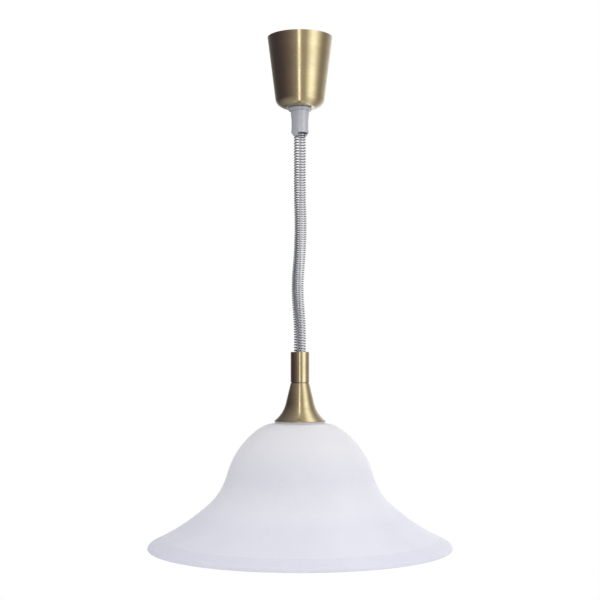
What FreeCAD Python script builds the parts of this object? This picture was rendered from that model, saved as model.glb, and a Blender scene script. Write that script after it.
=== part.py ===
"""Rise and fall pendant: a brass ceiling cup over a spring reel, a coiled flex round the
suspension cord, a brass tube and trumpet, and a flared opal glass shade.

Millimetres, +Z up. The origin is the centre of the steel eye that hangs on the ceiling hook.
The lamp is built raised, as it hangs with its cord wound in.
"""
import FreeCAD, Part
import math
import os
from FreeCAD import Vector

UP = Vector(0, 0, 1)
ALONG_X = Vector(1, 0, 0)
ALONG_Y = Vector(0, 1, 0)
ORIGIN = Vector(0, 0, 0)

# ---- clearances and general stock ----
running_gap = 0.05        # radial gap between a part that turns or slides and what it runs on
thread_gap = 0.05         # radial gap of a screw or nut on its thread, drawn plain
free_gap = 0.3            # gap round things that only pass through

# ---- ceiling eye and hanger ----
eye_bore_r = 6.0
eye_rim = 4.0             # metal round the bore
eye_t = 2.5
eye_neck_w = 9.0
eye_neck_h = 2.0
tenon_w = 6.0
tenon_head_h = 1.2
strap_t = 2.0
strap_w = 20.0
strap_ear_h = 12.0
strap_screw_r = 2.0
strap_screw_head_r = 3.4
strap_screw_head_h = 2.0
strap_screw_pitch = 12.0

# ---- reel frame ----
frame_t = 2.0
frame_inner_w = 37.4      # between the two cheeks
frame_left = 20.0         # reach of the cheeks to -X and to +X
frame_right = 18.0
frame_over_bush = 3.5     # gap under the base plate, over the bush in the cup
frame_corner_r = 7.0
bend_r = 1.0              # inner radius of bent sheet
strap_drop = 0.2          # gap that keeps the cheek tops out of the strap's bends

# ---- spring reel ----
cord_r = 0.6
drum_core_r = 13.0
drum_rim_r = 16.0
axle_below_cheeks = 18.8  # axle below the cheeks' top edge
axle_r = 3.0
axle_head_r = 4.6
axle_head_h = 1.6
axle_end = 3.0            # axle beyond the cheek on the clip side
clip_t = 0.8
clip_groove = 0.6
clip_rim = 1.9
washer_t = 0.5
washer_r = 6.0
flange_t = 1.5
drum_wall = 2.0
hub_r = 6.0
winding_pitch = 1.63
winding_part_turn = 0.75  # the turns end at the anchor, so far round from where they start
winding_end_gap = 0.15    # last turn to the far flange
anchor_bend_r = 2.0       # bend of the cord through the drum's core
anchor_reach = 4.5        # straight cord beyond that bend
anchor_slot_gap = 0.2
cord_stop_r = 1.5
cord_stop_l = 2.6
pocket_depth = 16.5
pocket_ribs = 6
rib_t = 1.6
barrel_wall = 1.6
lid_t = 1.5
lid_spigot_h = 1.2
lid_spigot_w = 1.0
spring_t = 0.4
spring_outer_turns = 7.0
spring_outer_step = 0.86
spring_inner_arcs = 5     # half turns of the loose inner end, the last of which hugs the axle
spring_side_gap = 0.5
spring_wall_gap = 0.3     # outermost turn inside the barrel's wall
spring_hook = 1.4         # end of the spring bent into the axle's slot
brake_screw_r = 2.5
brake_nut_h = 3.2
brake_nut_af = 8.0
brake_head_r = 5.0
brake_head_h = 3.6
brake_head_gap = 0.8
brake_out = 13.4          # distance of the brake screw from the drum's axis
brake_angle = 22.0        # its angle above the drum's +X side

# ---- canopy ----
cup_rise = 20.0           # ceiling face of the cup over the eye
cup_h = 96.0
cup_top_r = 43.8
cup_bottom_r = 31.7       # where the straight side would meet the bottom
cup_corner_r = 13.0
cup_wall = 1.0
bush_shank_r = 14.0
bush_flange_r = 17.0
bush_flange_t = 1.5
ring_lip_h = 0.8
ring_r = 15.85
ring_h = 4.3
ring_round = 1.0

# ---- outlet nozzle ----
nozzle_root_r = 12.5
nozzle_waist_r = 11.4
nozzle_lip_r = 11.8
nozzle_tip_r = 8.2
nozzle_bore_r = 9.2
nozzle_shank_r = 11.0
nozzle_shank_h = 7.5      # shank over the underside of the base plate
nozzle_root_h = 12.0
nozzle_taper_h = 12.0
nozzle_len = 40.1         # base plate to the lip's lower edge
nozzle_lip_h = 2.6
nozzle_tip_h = 4.6
nozzle_tip_wall = 1.6
notch_from = -106.0       # sector of the tip that is open, degrees round +Z from +X
notch_to = 12.0
notch_under_lip = 0.5
nozzle_nut_af = 30.0
nozzle_nut_h = 4.0
guide_flange_r = 10.8
guide_flange_h = 1.5
guide_plug_h = 4.5
guide_eye_r = 1.3
guide_eye_bevel = 1.0

# ---- flex ----
flex_r = 1.28
curl_r = 7.1              # centre of the wire round the axis of the coil
curls = 89                # the two tails stand on opposite sides, so the last turn is a half
curl_bend_r = 2.9         # bend where a tail leaves the last turn
flex_tail = 2.6           # straight end of the coiled flex
upper_tail_angle = -80.0  # where the upper tail stands round the axis, degrees from +X
curl_clear = 0.3          # between the outermost turns and the nozzle's tip or the tube's lip
pitch_rise_top = 0.32     # how much wider the pitch is at each end than where it is closest
pitch_rise_low = 0.22
closest_at = 0.40         # place of the closest pitch, as a share of the turns from below
sway_right = 0.9          # the coil hangs so far out of line in X above its middle, and below it
sway_left = 3.1
sway_places = ((0.61, 0.16), (0.29, 0.22))  # centre and half length of each, as shares of the turns
steps_per_turn = 2        # each a pair of tangent arcs
wire_sides = 6            # the coiled flex is drawn with flats, its corners on its diameter
core_r = 0.5
core_apart = 0.2          # gap between the two cores where they leave their sheath
core_out = 1.6            # straight core out of the upper sheath
core_in = 0.4             # straight core before the terminal block
lower_core_out = 2.0      # the same at the lampholder
lower_core_in = 1.5
lower_core_end = 0.8      # core ends so far over the carrier
lower_tail = 2.1          # flex below the tube's bush before it turns to the axis
cord_end_inset = 0.8      # cord ends inside its ferrule

# ---- terminals ----
plate_t = 1.2
plate_x = 8.0
plate_share = 0.87        # how far up the room over the cord guide the plate stands
plate_h = 24.0
plate_ear = 9.0
plate_screw_r = 1.5
pole_pitch = 10.0
poles = 2
block_l = 14.0            # along the wires
block_base = 3.0
block_over_edge = 8.0     # block over the plate's lower edge
block_boss_wall = 1.1     # wall round a terminal screw
block_boss_h = 1.0
sheath_over_edge = 3.6    # where the upper flex's sheath ends
pole_r = 3.4
insert_r = 2.4
insert_bore_r = 1.5
insert_inset = 1.0        # insert inside each end of the block
pole_screw_r = 1.2
pole_screw_gap = 0.5      # round a terminal screw in the block
pole_head_over = 0.4      # its head over its shank
pole_head_h = 1.2
saddle_w = 16.0
saddle_h = 3.0
saddle_t = 4.4
saddle_screw_r = 1.3
saddle_screw_at = 5.5
saddle_over_edge = 0.3    # saddle over the plate's lower edge
block_head_r = 2.2

# ---- lamp head ----
raised_drop = 404.7       # eye down to the brass tube's top when the cord is wound in
tube_r = 12.5
tube_wall = 1.0
tube_len = 40.5
tube_lip_r = 9.6
tube_lip_h = 1.2
tube_floor = 2.0
bush_h = 4.5
bush_hole_gap = 0.12      # round the flex, in the bush and in the cord guide
ferrule_r = 2.4
ferrule_h = 5.0
seam_h = 0.8
seam_inset = 1.1
cone_top_r = 12.4
cone_half_angle = 13.7
cone_straight_h = 27.2
cone_flare_r = 40.0
cone_flare_end = 52.5     # slope of the mouth from the vertical
cone_bead_r = 0.8
cone_wall = 1.0
cone_cap_t = 1.2
nipple_r = 5.0
nipple_bore_r = 3.9
nipple_above = 9.2        # nipple over the tube's floor
nut_af = 14.0
nut_h = 3.0
grip_r = 6.5
grip_h = 9.0
grip_overlap = 3.0
grip_screw_r = 1.5
grip_round = 1.0
holder_neck_r = 7.5
holder_neck_h = 5.0
holder_below_seam = 22.0  # lampholder's top below the seam
holder_dome_h = 10.0
holder_dome_r = 17.5
holder_brow_h = 1.5       # cap's rim under its dome
holder_bevel = 1.0
holder_r = 19.8
holder_wall = 1.8
holder_len = 73.0         # neck to mouth
holder_mouth_r = 15.0
holder_mouth_t = 2.0
cap_wall = 2.2
insert_from_top = 32.0    # carrier of the contacts below the neck's top
carrier_h = 12.0
holder_ledge = 1.1        # step that the carrier rests on
contact_block = 5.0
contact_block_h = 5.2
contact_out = 8.0         # terminals from the axis
contact_floor = 0.6       # metal under a terminal's hole
contact_hole_gap = 0.2
holder_screw_out = 0.6    # its head stands off the block
holder_screw_head_h = 1.3
holder_screw_r = 1.6
rivet_r = 1.2
shell_bore_r = 13.3       # E27
shell_t = 0.5
shell_h = 17.0
shell_step = 1.0          # wider ring over the thread, round the middle contact
shell_flange_r = 16.5
tongue_w = 6.0
tongue_drop = 3.0
tongue_foot = 2.0         # contact's flat end beyond its rivet
tongue_root = 4.0         # where the tongue leaves the carrier, from the axis
tongue_knee = 1.5         # where it turns flat under the axis, and where it ends
tongue_tip = 3.5
sheath_end_drop = 16.8    # sheath of the lower flex ends this far below the lampholder's top
nipple_past_neck = 1.5

# ---- shade ----
shade_gap = 1.77          # crown of the glass below the trumpet's edge
shade_crown_r = 28.7      # flat crown's edge
shade_hole_r = 21.5
glass_t = 3.5
shade_shoulder_r = 47.5
shade_side_r = 109.5
shade_waist_r = 83.9
shade_brim_r = 295.5
shade_turns = (37.2, 37.5, -32.7, -17.4)  # degrees downwards, of each of these arcs
shade_lip_r = 7.6
band_w = 18.5             # border along the rim, set off by a fine groove
band_groove = 0.35
gasket_w = 2.4
gasket_inset = 1.0        # gasket inside the trumpet's edge
upper_ring_r = 26.5
upper_ring_h = 3.4
lower_ring_r = 28.5
lower_ring_h = 5.0
lower_ring_grips = 24
grip_notch_r = 1.1
grip_notch_out = 0.3      # notch's centre outside the ring
fibre_t = 1.0

# ---- levels and places that follow from the values above ----
shade_arcs = list(zip((shade_shoulder_r, shade_side_r, shade_waist_r, shade_brim_r), shade_turns))
strap_top = -(eye_bore_r + eye_rim + eye_neck_h)
cheek_half = frame_inner_w / 2 + frame_t
cheek_top = strap_top - strap_t - bend_r - strap_drop
cup_low = cup_rise - cup_h
plate_under = cup_low + cup_wall + bush_flange_t + frame_over_bush
plate_top = plate_under + frame_t                # inside of the base plate
frame_h = cheek_top - plate_top
axle_z = cheek_top - axle_below_cheeks
axle_x = -(drum_core_r + cord_r)                 # puts the hanging cord on the axis of the lamp
drum_half = frame_inner_w / 2 - washer_t - running_gap
winding_room = drum_half - flange_t - cord_r - winding_end_gap
winding_turns = int(winding_room / winding_pitch - winding_part_turn) + winding_part_turn
lip_low = plate_under - nozzle_len
tip_low = lip_low - nozzle_tip_h
tail_out = math.hypot(curl_r, curl_bend_r)       # distance of the tails from the axis
tail_lead = math.degrees(math.atan2(curl_bend_r, curl_r))
coil_top = tip_low - curl_clear - flex_r
upper_join = coil_top + curl_bend_r + flex_tail
tube_top = -raised_drop
coil_low = tube_top + curl_clear + flex_r
lower_join = coil_low - curl_bend_r - flex_tail
lower_tail_angle = upper_tail_angle + 180
seam_top = tube_top - tube_len
cone_top = seam_top - seam_h
flare_low = cone_top - cone_straight_h - cone_flare_r * (
    math.sin(math.radians(cone_flare_end)) - math.sin(math.radians(cone_half_angle)))
bead_drop = cone_wall * 0.5 + cone_bead_r * 0.2  # the rolled edge hangs below the end of the flare
cone_low = flare_low - bead_drop - cone_bead_r
crown_z = cone_low - shade_gap
holder_top = seam_top - holder_below_seam
skirt_top = holder_top - holder_neck_h - holder_dome_h
holder_low = holder_top - holder_len
carrier_top = holder_top - insert_from_top
carrier_low = carrier_top - carrier_h
guide_high = plate_under + nozzle_shank_h + guide_flange_h
plate_room = strap_top - strap_t - guide_high - plate_h
plate_low = guide_high + plate_room * plate_share
block_low = plate_low + block_over_edge
sheath_top = plate_low + sheath_over_edge
pole_x = plate_x + plate_t + block_base + insert_r
flex_up_x = plate_x + plate_t + flex_r


# ---- shapes ----
def at(x, y, z):
    return Vector(x, y, z)


def cylinder(r, h, base, axis=UP):
    return Part.makeCylinder(r, h, base, axis)


def ring(r_out, r_in, h, base, axis=UP):
    return cylinder(r_out, h, base, axis).cut(cylinder(r_in, h, base, axis))


def box(x0, x1, y0, y1, z0, z1):
    return Part.makeBox(x1 - x0, y1 - y0, z1 - z0, at(x0, y0, z0))


def fuse(shapes):
    """One solid of touching or overlapping shapes, without the seams between them."""
    return shapes[0].multiFuse(shapes[1:]).removeSplitter()


def spun(points, centre=ORIGIN, axis=UP):
    """A solid of revolution from a closed outline of (radius, height) points."""
    outline = [at(r, 0, z) for r, z in points]
    face = Part.Face(Part.makePolygon(outline + outline[:1]))
    solid = face.revolve(ORIGIN, UP, 360)
    return placed(solid, centre, axis)


def placed(shape, centre, axis):
    turned = shape.copy()
    turned.Placement = FreeCAD.Placement(centre, FreeCAD.Rotation(UP, axis)).multiply(turned.Placement)
    return turned


def hexagon(across_flats, h, base, axis=UP, turn=0.0):
    r = across_flats / math.sqrt(3)
    corners = []
    for k in range(6):
        a = math.radians(60 * k + turn)
        corners.append(at(r * math.cos(a), r * math.sin(a), 0))
    face = Part.Face(Part.makePolygon(corners + corners[:1]))
    return placed(face.extrude(UP * h), base, axis)


def nut(across_flats, bore_r, h, base, axis=UP, turn=0.0):
    """A hexagon nut, its corners chamfered as turned stock is."""
    corner_r = across_flats / math.sqrt(3)
    bevel = corner_r - across_flats / 2
    blank = spun([(0, 0), (corner_r - bevel, 0), (corner_r, bevel / 2), (corner_r, h - bevel / 2),
                  (corner_r - bevel, h), (0, h)], base, axis)
    return hexagon(across_flats, h, base, axis, turn).common(blank).cut(cylinder(bore_r, h, base, axis))


def screw(shank_r, shank_l, head_r, head_h, seat, axis):
    """A slotted cheese-head screw: seat is where the head bears, axis points out of its head."""
    head = cylinder(head_r, head_h, seat, axis)
    shank = cylinder(shank_r, shank_l, seat, axis * -1)
    slot = Part.makeBox(head_r * 2.2, head_r * 0.3, head_h * 0.5)
    slot.translate(at(-head_r * 1.1, -head_r * 0.15, head_h * 0.5))
    return head.fuse(shank).cut(placed(slot, seat, axis))


def channel(width, height, t, inner_r, length):
    """A bent sheet U, open upwards: width outside along Y, its underside at z 0, running along X."""
    outer_r = inner_r + t
    w = width / 2
    k = 1 - math.sqrt(0.5)
    edges = [
        Part.LineSegment(at(0, -w, height), at(0, -w, outer_r)),
        Part.Arc(at(0, -w, outer_r), at(0, -w + outer_r * k, outer_r * k), at(0, -w + outer_r, 0)),
        Part.LineSegment(at(0, -w + outer_r, 0), at(0, w - outer_r, 0)),
        Part.Arc(at(0, w - outer_r, 0), at(0, w - outer_r * k, outer_r * k), at(0, w, outer_r)),
        Part.LineSegment(at(0, w, outer_r), at(0, w, height)),
        Part.LineSegment(at(0, w, height), at(0, w - t, height)),
        Part.LineSegment(at(0, w - t, height), at(0, w - t, outer_r)),
        Part.Arc(at(0, w - t, outer_r), at(0, w - t - inner_r * k, t + inner_r * k), at(0, w - outer_r, t)),
        Part.LineSegment(at(0, w - outer_r, t), at(0, -w + outer_r, t)),
        Part.Arc(at(0, -w + outer_r, t), at(0, -w + t + inner_r * k, t + inner_r * k), at(0, -w + t, outer_r)),
        Part.LineSegment(at(0, -w + t, outer_r), at(0, -w + t, height)),
        Part.LineSegment(at(0, -w + t, height), at(0, -w, height)),
    ]
    face = Part.Face(Part.Wire([e.toShape() for e in edges]))
    return face.extrude(at(length, 0, 0))


def rounded_plate(x0, x1, z0, z1, r, half):
    """A block of the given half width in Y whose four edges along Y are rounded."""
    plate = box(x0, x1, -half, half, z0, z1)
    along = [e for e in plate.Edges if abs(e.Vertexes[0].Y - e.Vertexes[1].Y) > half]
    return plate.makeFillet(r, along)


def walk(start, heading, steps):
    """Tangent arcs and lines in the XZ plane: (radius, turn) or (0, length), heading and turns in
    degrees below +X. Gives the edges, the last point and the last heading."""
    p, h, edges = start, math.radians(heading), []
    for radius, amount in steps:
        ahead = at(math.cos(h), 0, -math.sin(h))
        if radius == 0:
            q = p + ahead * amount
            edges.append(Part.LineSegment(p, q).toShape())
        else:
            turn = math.radians(amount)
            side = math.copysign(1, amount)
            centre = p + at(-math.sin(h), 0, -math.cos(h)) * (side * radius)

            def on(angle):
                return centre - at(-math.sin(angle), 0, -math.cos(angle)) * (side * radius)

            q = on(h + turn)
            edges.append(Part.Arc(p, on(h + turn / 2), q).toShape())
            h += turn
        p = q
    return edges, p, math.degrees(h)


def line(p, q):
    return Part.LineSegment(p, q).toShape()


def arc_along(p, ahead, q):
    """The arc that leaves p along ahead and ends at q, or a line where q is straight ahead."""
    chord = q - p
    normal = chord.cross(ahead)
    if normal.Length < 1e-7 * chord.Length:
        return line(p, q)
    half = ahead.getAngle(chord)
    rise = normal.cross(chord).normalize() * (chord.Length / 2 * math.tan(half / 2))
    return Part.Arc(p, (p + q) * 0.5 + rise, q).toShape()


def biarc(p, along_p, q, along_q):
    """Two arcs, tangent to each other and to the two given directions."""
    chord = q - p
    a = 2 * (1 - along_p.dot(along_q))
    b = 2 * chord.dot(along_p + along_q)
    c = -chord.dot(chord)
    arm = -c / b if abs(a) < 1e-9 else (-b + math.sqrt(b * b - 4 * a * c)) / (2 * a)
    first, last = p + along_p * arm, q - along_q * arm
    middle = (first + last) * 0.5
    return [arc_along(p, along_p, middle), arc_along(middle, (last - first).normalize(), q)]


def swept_wire(edges, start, along, r, sides=6):
    """A wire of round stock drawn with flats, swept along tangent edges."""
    across = along.cross(UP if abs(along.z) < 0.9 else ALONG_X).normalize()
    other = along.cross(across)
    corners = []
    for k in range(sides):
        a = 2 * math.pi * (k + 0.5) / sides
        corners.append(start + across * (r * math.cos(a)) + other * (r * math.sin(a)))
    section = Part.makePolygon(corners + corners[:1])
    return Part.Wire(edges).makePipeShell([section], True, False)


def routed(points, r, name):
    """A round cord along straight runs joined by tangent arcs, each as large as its runs allow.
    Prints its smallest radius, and its volume against its section times its length."""
    edges, radii, here = [], [], points[0]
    for before, corner, after in zip(points, points[1:], points[2:]):
        back, ahead = corner - before, after - corner
        turn = back.getAngle(ahead)
        reach = 0.45 * min(back.Length, ahead.Length)
        radii.append(reach / math.tan(turn / 2))
        u, v = back.normalize(), ahead.normalize()
        begin, end = corner - u * reach, corner + v * reach
        edges += [line(here, begin), arc_along(begin, u, end)]
        here = end
    edges.append(line(here, points[-1]))
    path = Part.Wire(edges)
    start = (points[1] - points[0]).normalize()
    section = Part.Wire([Part.Circle(points[0], start, r).toShape()])
    solid = path.makePipeShell([section], True, False)
    share = solid.Volume / (math.pi * r * r * path.Length)
    least = min(radii) if radii else 0
    print(f"{name}: length {path.Length:.1f}, smallest radius {least:.1f}, volume share {share:.4f}")
    return solid


def round_the_axis(r, degrees, z):
    a = math.radians(degrees)
    return at(r * math.cos(a), r * math.sin(a), z)


# ---- hanger, frame and fastenings ----
def ceiling_eye():
    rim = cylinder(eye_bore_r + eye_rim, eye_t, at(0, -eye_t / 2, 0), ALONG_Y)
    neck = box(-eye_neck_w / 2, eye_neck_w / 2, -eye_t / 2, eye_t / 2, strap_top, 0)
    tenon = box(-tenon_w / 2, tenon_w / 2, -eye_t / 2, eye_t / 2, strap_top - strap_t, strap_top)
    head = box(-eye_neck_w / 2, eye_neck_w / 2, -eye_t, eye_t,
               strap_top - strap_t - tenon_head_h, strap_top - strap_t)
    bore = cylinder(eye_bore_r, eye_t, at(0, -eye_t / 2, 0), ALONG_Y)
    return fuse([rim, neck, tenon, head]).cut(bore)


def strap_screw_places():
    z = strap_top - strap_t - (strap_ear_h - strap_t) / 2 - bend_r / 2
    return [(side, x, z) for side in (-1, 1) for x in (-strap_screw_pitch / 2, strap_screw_pitch / 2)]


def hanger_strap():
    width = 2 * (cheek_half + strap_t)
    strap = channel(width, strap_ear_h, strap_t, bend_r, strap_w)
    strap.rotate(ORIGIN, ALONG_X, 180)
    strap.translate(at(-strap_w / 2, 0, strap_top))
    slot = box(-tenon_w / 2, tenon_w / 2, -eye_t / 2, eye_t / 2, strap_top - strap_t, strap_top)
    holes = [cylinder(strap_screw_r + free_gap / 2, strap_t, at(x, side * cheek_half, z), ALONG_Y * side)
             for side, x, z in strap_screw_places()]
    return strap.cut(Part.makeCompound([slot] + holes))


def strap_screws():
    seat = cheek_half + strap_t
    return Part.makeCompound([
        screw(strap_screw_r, strap_t + frame_t, strap_screw_head_r, strap_screw_head_h,
              at(x, side * seat, z), ALONG_Y * side)
        for side, x, z in strap_screw_places()])


def brake_place():
    a = math.radians(brake_angle)
    return axle_x + brake_out * math.cos(a), axle_z + brake_out * math.sin(a)


def plate_screw_places():
    z = plate_low + plate_h / 2
    x = plate_x + plate_t + (plate_ear - plate_t) / 2
    return [(side, x, z) for side in (-1, 1)]


def reel_frame():
    height = frame_t + frame_h
    frame = channel(2 * cheek_half, height, frame_t, bend_r, frame_left + frame_right)
    frame.translate(at(-frame_left, 0, plate_under))
    outline = rounded_plate(-frame_left, frame_right, plate_under - frame_corner_r * 2, cheek_top,
                            frame_corner_r, cheek_half + 1)
    frame = frame.common(outline)
    nozzle_hole = cylinder(nozzle_shank_r + thread_gap * 2, frame_t, at(0, 0, plate_under))
    axle_holes = cylinder(axle_r + thread_gap, 2 * cheek_half, at(axle_x, -cheek_half, axle_z), ALONG_Y)
    brake_x, brake_z = brake_place()
    brake_hole = cylinder(brake_screw_r + running_gap, frame_t, at(brake_x, -cheek_half, brake_z), ALONG_Y)
    holes = [cylinder(strap_screw_r + thread_gap, frame_t, at(x, side * (cheek_half - frame_t), z),
                      ALONG_Y * side) for side, x, z in strap_screw_places()]
    holes += [cylinder(plate_screw_r + thread_gap, frame_t, at(x, side * (cheek_half - frame_t), z),
                       ALONG_Y * side) for side, x, z in plate_screw_places()]
    return frame.cut(Part.makeCompound([nozzle_hole, axle_holes, brake_hole] + holes))


def reel_axle():
    groove_y = cheek_half
    r_groove = axle_r - clip_groove
    h = 2 * cheek_half + axle_end
    low = -cheek_half
    points = [(0, low - axle_head_h), (axle_head_r, low - axle_head_h), (axle_head_r, low), (axle_r, low),
              (axle_r, groove_y), (r_groove, groove_y), (r_groove, groove_y + clip_t + thread_gap),
              (axle_r, groove_y + clip_t + thread_gap), (axle_r, low + h), (0, low + h)]
    return spun(points, at(axle_x, 0, axle_z), ALONG_Y)


def axle_circlip():
    r_in = axle_r - clip_groove + thread_gap
    r_out = axle_r + clip_rim
    clip = ring(r_out, r_in, clip_t, at(axle_x, cheek_half, axle_z), ALONG_Y)
    mouth = box(axle_x - r_in * 0.8, axle_x + r_in * 0.8, cheek_half, cheek_half + clip_t,
                axle_z, axle_z + r_out)
    return clip.cut(mouth)


def thrust_washers():
    washer_in = axle_r + thread_gap
    low = at(axle_x, -frame_inner_w / 2, axle_z)
    high = at(axle_x, frame_inner_w / 2 - washer_t, axle_z)
    return Part.makeCompound([ring(washer_r, washer_in, washer_t, base, ALONG_Y) for base in (low, high)])


def brake_nut():
    x, z = brake_place()
    return nut(brake_nut_af, brake_screw_r + running_gap, brake_nut_h,
               at(x, -cheek_half, z), ALONG_Y * -1)


def brake_screw():
    """The reel's friction screw: its nylon-tipped end stands just off the drum's flange."""
    x, z = brake_place()
    tip_y = -drum_half - running_gap
    head_y = -cheek_half - brake_nut_h - brake_head_gap
    shank = cylinder(brake_screw_r, tip_y - head_y, at(x, head_y, z), ALONG_Y)
    head = cylinder(brake_head_r, brake_head_h, at(x, head_y, z), ALONG_Y * -1)
    knurls = []
    for k in range(12):
        a = math.radians(30 * k)
        place = at(x + brake_head_r * math.cos(a), head_y, z + brake_head_r * math.sin(a))
        knurls.append(cylinder(brake_head_r * 0.1, brake_head_h, place, ALONG_Y * -1))
    slot = box(x - brake_head_r, x + brake_head_r, head_y - brake_head_h, head_y - brake_head_h * 0.6,
               z - brake_head_r * 0.12, z + brake_head_r * 0.12)
    return shank.fuse(head).cut(Part.makeCompound(knurls + [slot]))


# ---- the reel ----
def reel_centre():
    return at(axle_x, 0, axle_z)


def mid_flange_low():
    return cord_r + running_gap * 2


def barrel_floor():
    return mid_flange_low() + flange_t * 2


def drum():
    """Moulded drum: the cord's core between two flanges, and the spring's barrel beside it."""
    bore = axle_r + running_gap
    mid = mid_flange_low()
    lid_seat = drum_half - lid_t
    spring_r = drum_rim_r - barrel_wall
    points = [(bore, -drum_half), (drum_rim_r, -drum_half), (drum_rim_r, -drum_half + flange_t),
              (drum_core_r, -drum_half + flange_t), (drum_core_r, mid), (drum_rim_r, mid),
              (drum_rim_r, lid_seat), (spring_r, lid_seat), (spring_r, barrel_floor()),
              (bore, barrel_floor())]
    body = spun(points, reel_centre(), ALONG_Y)
    pocket = ring(drum_core_r - drum_wall, hub_r, pocket_depth,
                  reel_centre() - ALONG_Y * drum_half, ALONG_Y)
    ribs = []
    for k in range(pocket_ribs):
        rib = box(hub_r * 0.9, drum_core_r, -drum_half, -drum_half + pocket_depth, -rib_t / 2, rib_t / 2)
        rib.rotate(ORIGIN, ALONG_Y, 360.0 / pocket_ribs * k)
        rib.translate(reel_centre())
        ribs.append(rib)
    return body.cut(pocket.cut(Part.makeCompound(ribs)))


def barrel_lid():
    bore = axle_r + running_gap
    seat = drum_half - lid_t
    spigot_r = drum_rim_r - barrel_wall - thread_gap
    points = [(bore, drum_half), (drum_rim_r, drum_half), (drum_rim_r, seat), (spigot_r, seat),
              (spigot_r, seat - lid_spigot_h), (spigot_r - lid_spigot_w, seat - lid_spigot_h),
              (spigot_r - lid_spigot_w, seat), (bore, seat)]
    return spun(points, reel_centre(), ALONG_Y)


def spring_slot_box(gap, h):
    """The spring's hook, or with a gap the slot for it, in the flat frame of the spring."""
    return box(-axle_r - thread_gap - spring_t, -axle_r + spring_hook + gap, -gap, spring_t + gap, 0, h)


def spring_band():
    return barrel_floor() + spring_side_gap, drum_half - lid_t - lid_spigot_h - spring_side_gap


def on_the_reel(shape, y):
    return placed(shape, reel_centre() + ALONG_Y * y, ALONG_Y)


def mainspring():
    """The flat spring: wound against the barrel's wall, because the lamp is up, with a loose
    inner end that hugs the axle and hooks into its slot."""
    outer, inner = [], []
    r = drum_rim_r - barrel_wall - spring_wall_gap
    arcs = int(spring_outer_turns * 2)
    last_r = axle_r + thread_gap + spring_t
    inner_drop = (r - arcs * spring_outer_step / 2 - last_r) / (spring_inner_arcs - 1)
    drops = [spring_outer_step / 2] * arcs + [inner_drop] * (spring_inner_arcs - 1) + [0.0]
    centre, side = 0.0, 1
    for drop in drops:
        for edges, radius in ((outer, r), (inner, r - spring_t)):
            edges.append(Part.Arc(at(centre + side * radius, 0, 0), at(centre, -side * radius, 0),
                                  at(centre - side * radius, 0, 0)).toShape())
        centre -= side * drop
        r -= drop
        side = -side
    begin = line(inner[0].Vertexes[0].Point, outer[0].Vertexes[0].Point)
    end = line(outer[-1].Vertexes[-1].Point, inner[-1].Vertexes[-1].Point)
    face = Part.Face(Part.Wire([begin] + outer + [end] + inner[::-1]))
    low, high = spring_band()
    strip = face.extrude(UP * (high - low))
    hook = spring_slot_box(0.0, high - low)
    return on_the_reel(fuse([strip, hook]), low)


def slotted_axle():
    low, high = spring_band()
    slot = spring_slot_box(running_gap * 2, high - low + 2 * spring_side_gap)
    return reel_axle().cut(on_the_reel(slot, low - spring_side_gap))


def wound(turns):
    """Place and direction of the cord on the drum, so many turns back from where it hangs free."""
    a = 2 * math.pi * turns
    r = drum_core_r + cord_r
    rise = winding_pitch / (2 * math.pi * r)
    place = reel_centre() + at(r * math.cos(a), -winding_pitch * turns, r * math.sin(a))
    return place, at(-math.sin(a), -rise, math.cos(a)).normalize()


def anchor_frame():
    """Where the wound cord turns into the drum: its last place, and its directions along and in."""
    place, _ = wound(winding_turns)
    a = 2 * math.pi * winding_turns
    return place, at(-math.sin(a), 0, math.cos(a)), at(-math.cos(a), 0, -math.sin(a))


def anchored_drum():
    place, along, inward = anchor_frame()
    half = cord_r + anchor_slot_gap
    slot = Part.makeBox(drum_wall + 2 * cord_r + 2, 2 * half, anchor_bend_r + half)
    slot.translate(at(-cord_r, -half, 0))
    axes = FreeCAD.Matrix(inward.x, 0, along.x, place.x, inward.y, 1, along.y, place.y,
                          inward.z, 0, along.z, place.z, 0, 0, 0, 1)
    slot.transformShape(axes)
    return drum().cut(slot)


def cord_winding():
    """The cord on the drum, one tube: straight down to where it hangs free, round the core, and
    through the core to its stop."""
    quarters = int(winding_turns * 4)
    start = reel_centre() + at(drum_core_r + cord_r, 0, -2 * cord_r)
    first = reel_centre() + at(drum_core_r + cord_r, 0, 0)
    edges = [line(start, first)]
    here, heading = first, UP
    for k in range(1, quarters + 1):
        place, direction = wound(k / 4)
        edges += biarc(here, heading, place, direction)
        here, heading = place, direction
    _, along, inward = anchor_frame()
    bend_end = here + along * anchor_bend_r + inward * anchor_bend_r
    edges += biarc(here, heading, bend_end, inward)
    edges.append(line(bend_end, bend_end + inward * anchor_reach))
    section = Part.Wire([Part.Circle(start, UP, cord_r).toShape()])
    solid = Part.Wire(edges).makePipeShell([section], True, False)
    points = [wound(k / 36)[0] for k in range(int(winding_turns * 36))]
    print(f"cord_winding: {winding_turns} turns, least gap {least_gap(points, cord_r, 36):.2f}, "
          f"smallest radius {anchor_bend_r:.1f}")
    return solid


def cord_stop():
    place, along, inward = anchor_frame()
    seat = math.sqrt((drum_core_r - drum_wall) ** 2 - (anchor_bend_r + cord_stop_r) ** 2) - running_gap
    face = place + along * anchor_bend_r + inward * (drum_core_r + cord_r - seat)
    return ring(cord_stop_r, cord_r + running_gap, cord_stop_l, face, inward)


def least_gap(points, r, per_turn):
    """Smallest distance between the surfaces of turns that lie next to each other."""
    least = 1e9
    for i, p in enumerate(points):
        for q in points[i + per_turn // 2:i + per_turn * 2]:
            least = min(least, p.distanceToPoint(q))
    return least - 2 * r


def suspension_cord():
    top = axle_z - 2 * cord_r
    low = bush_low() - ferrule_h + cord_end_inset
    return cylinder(cord_r, top - low, at(0, 0, low))


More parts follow.
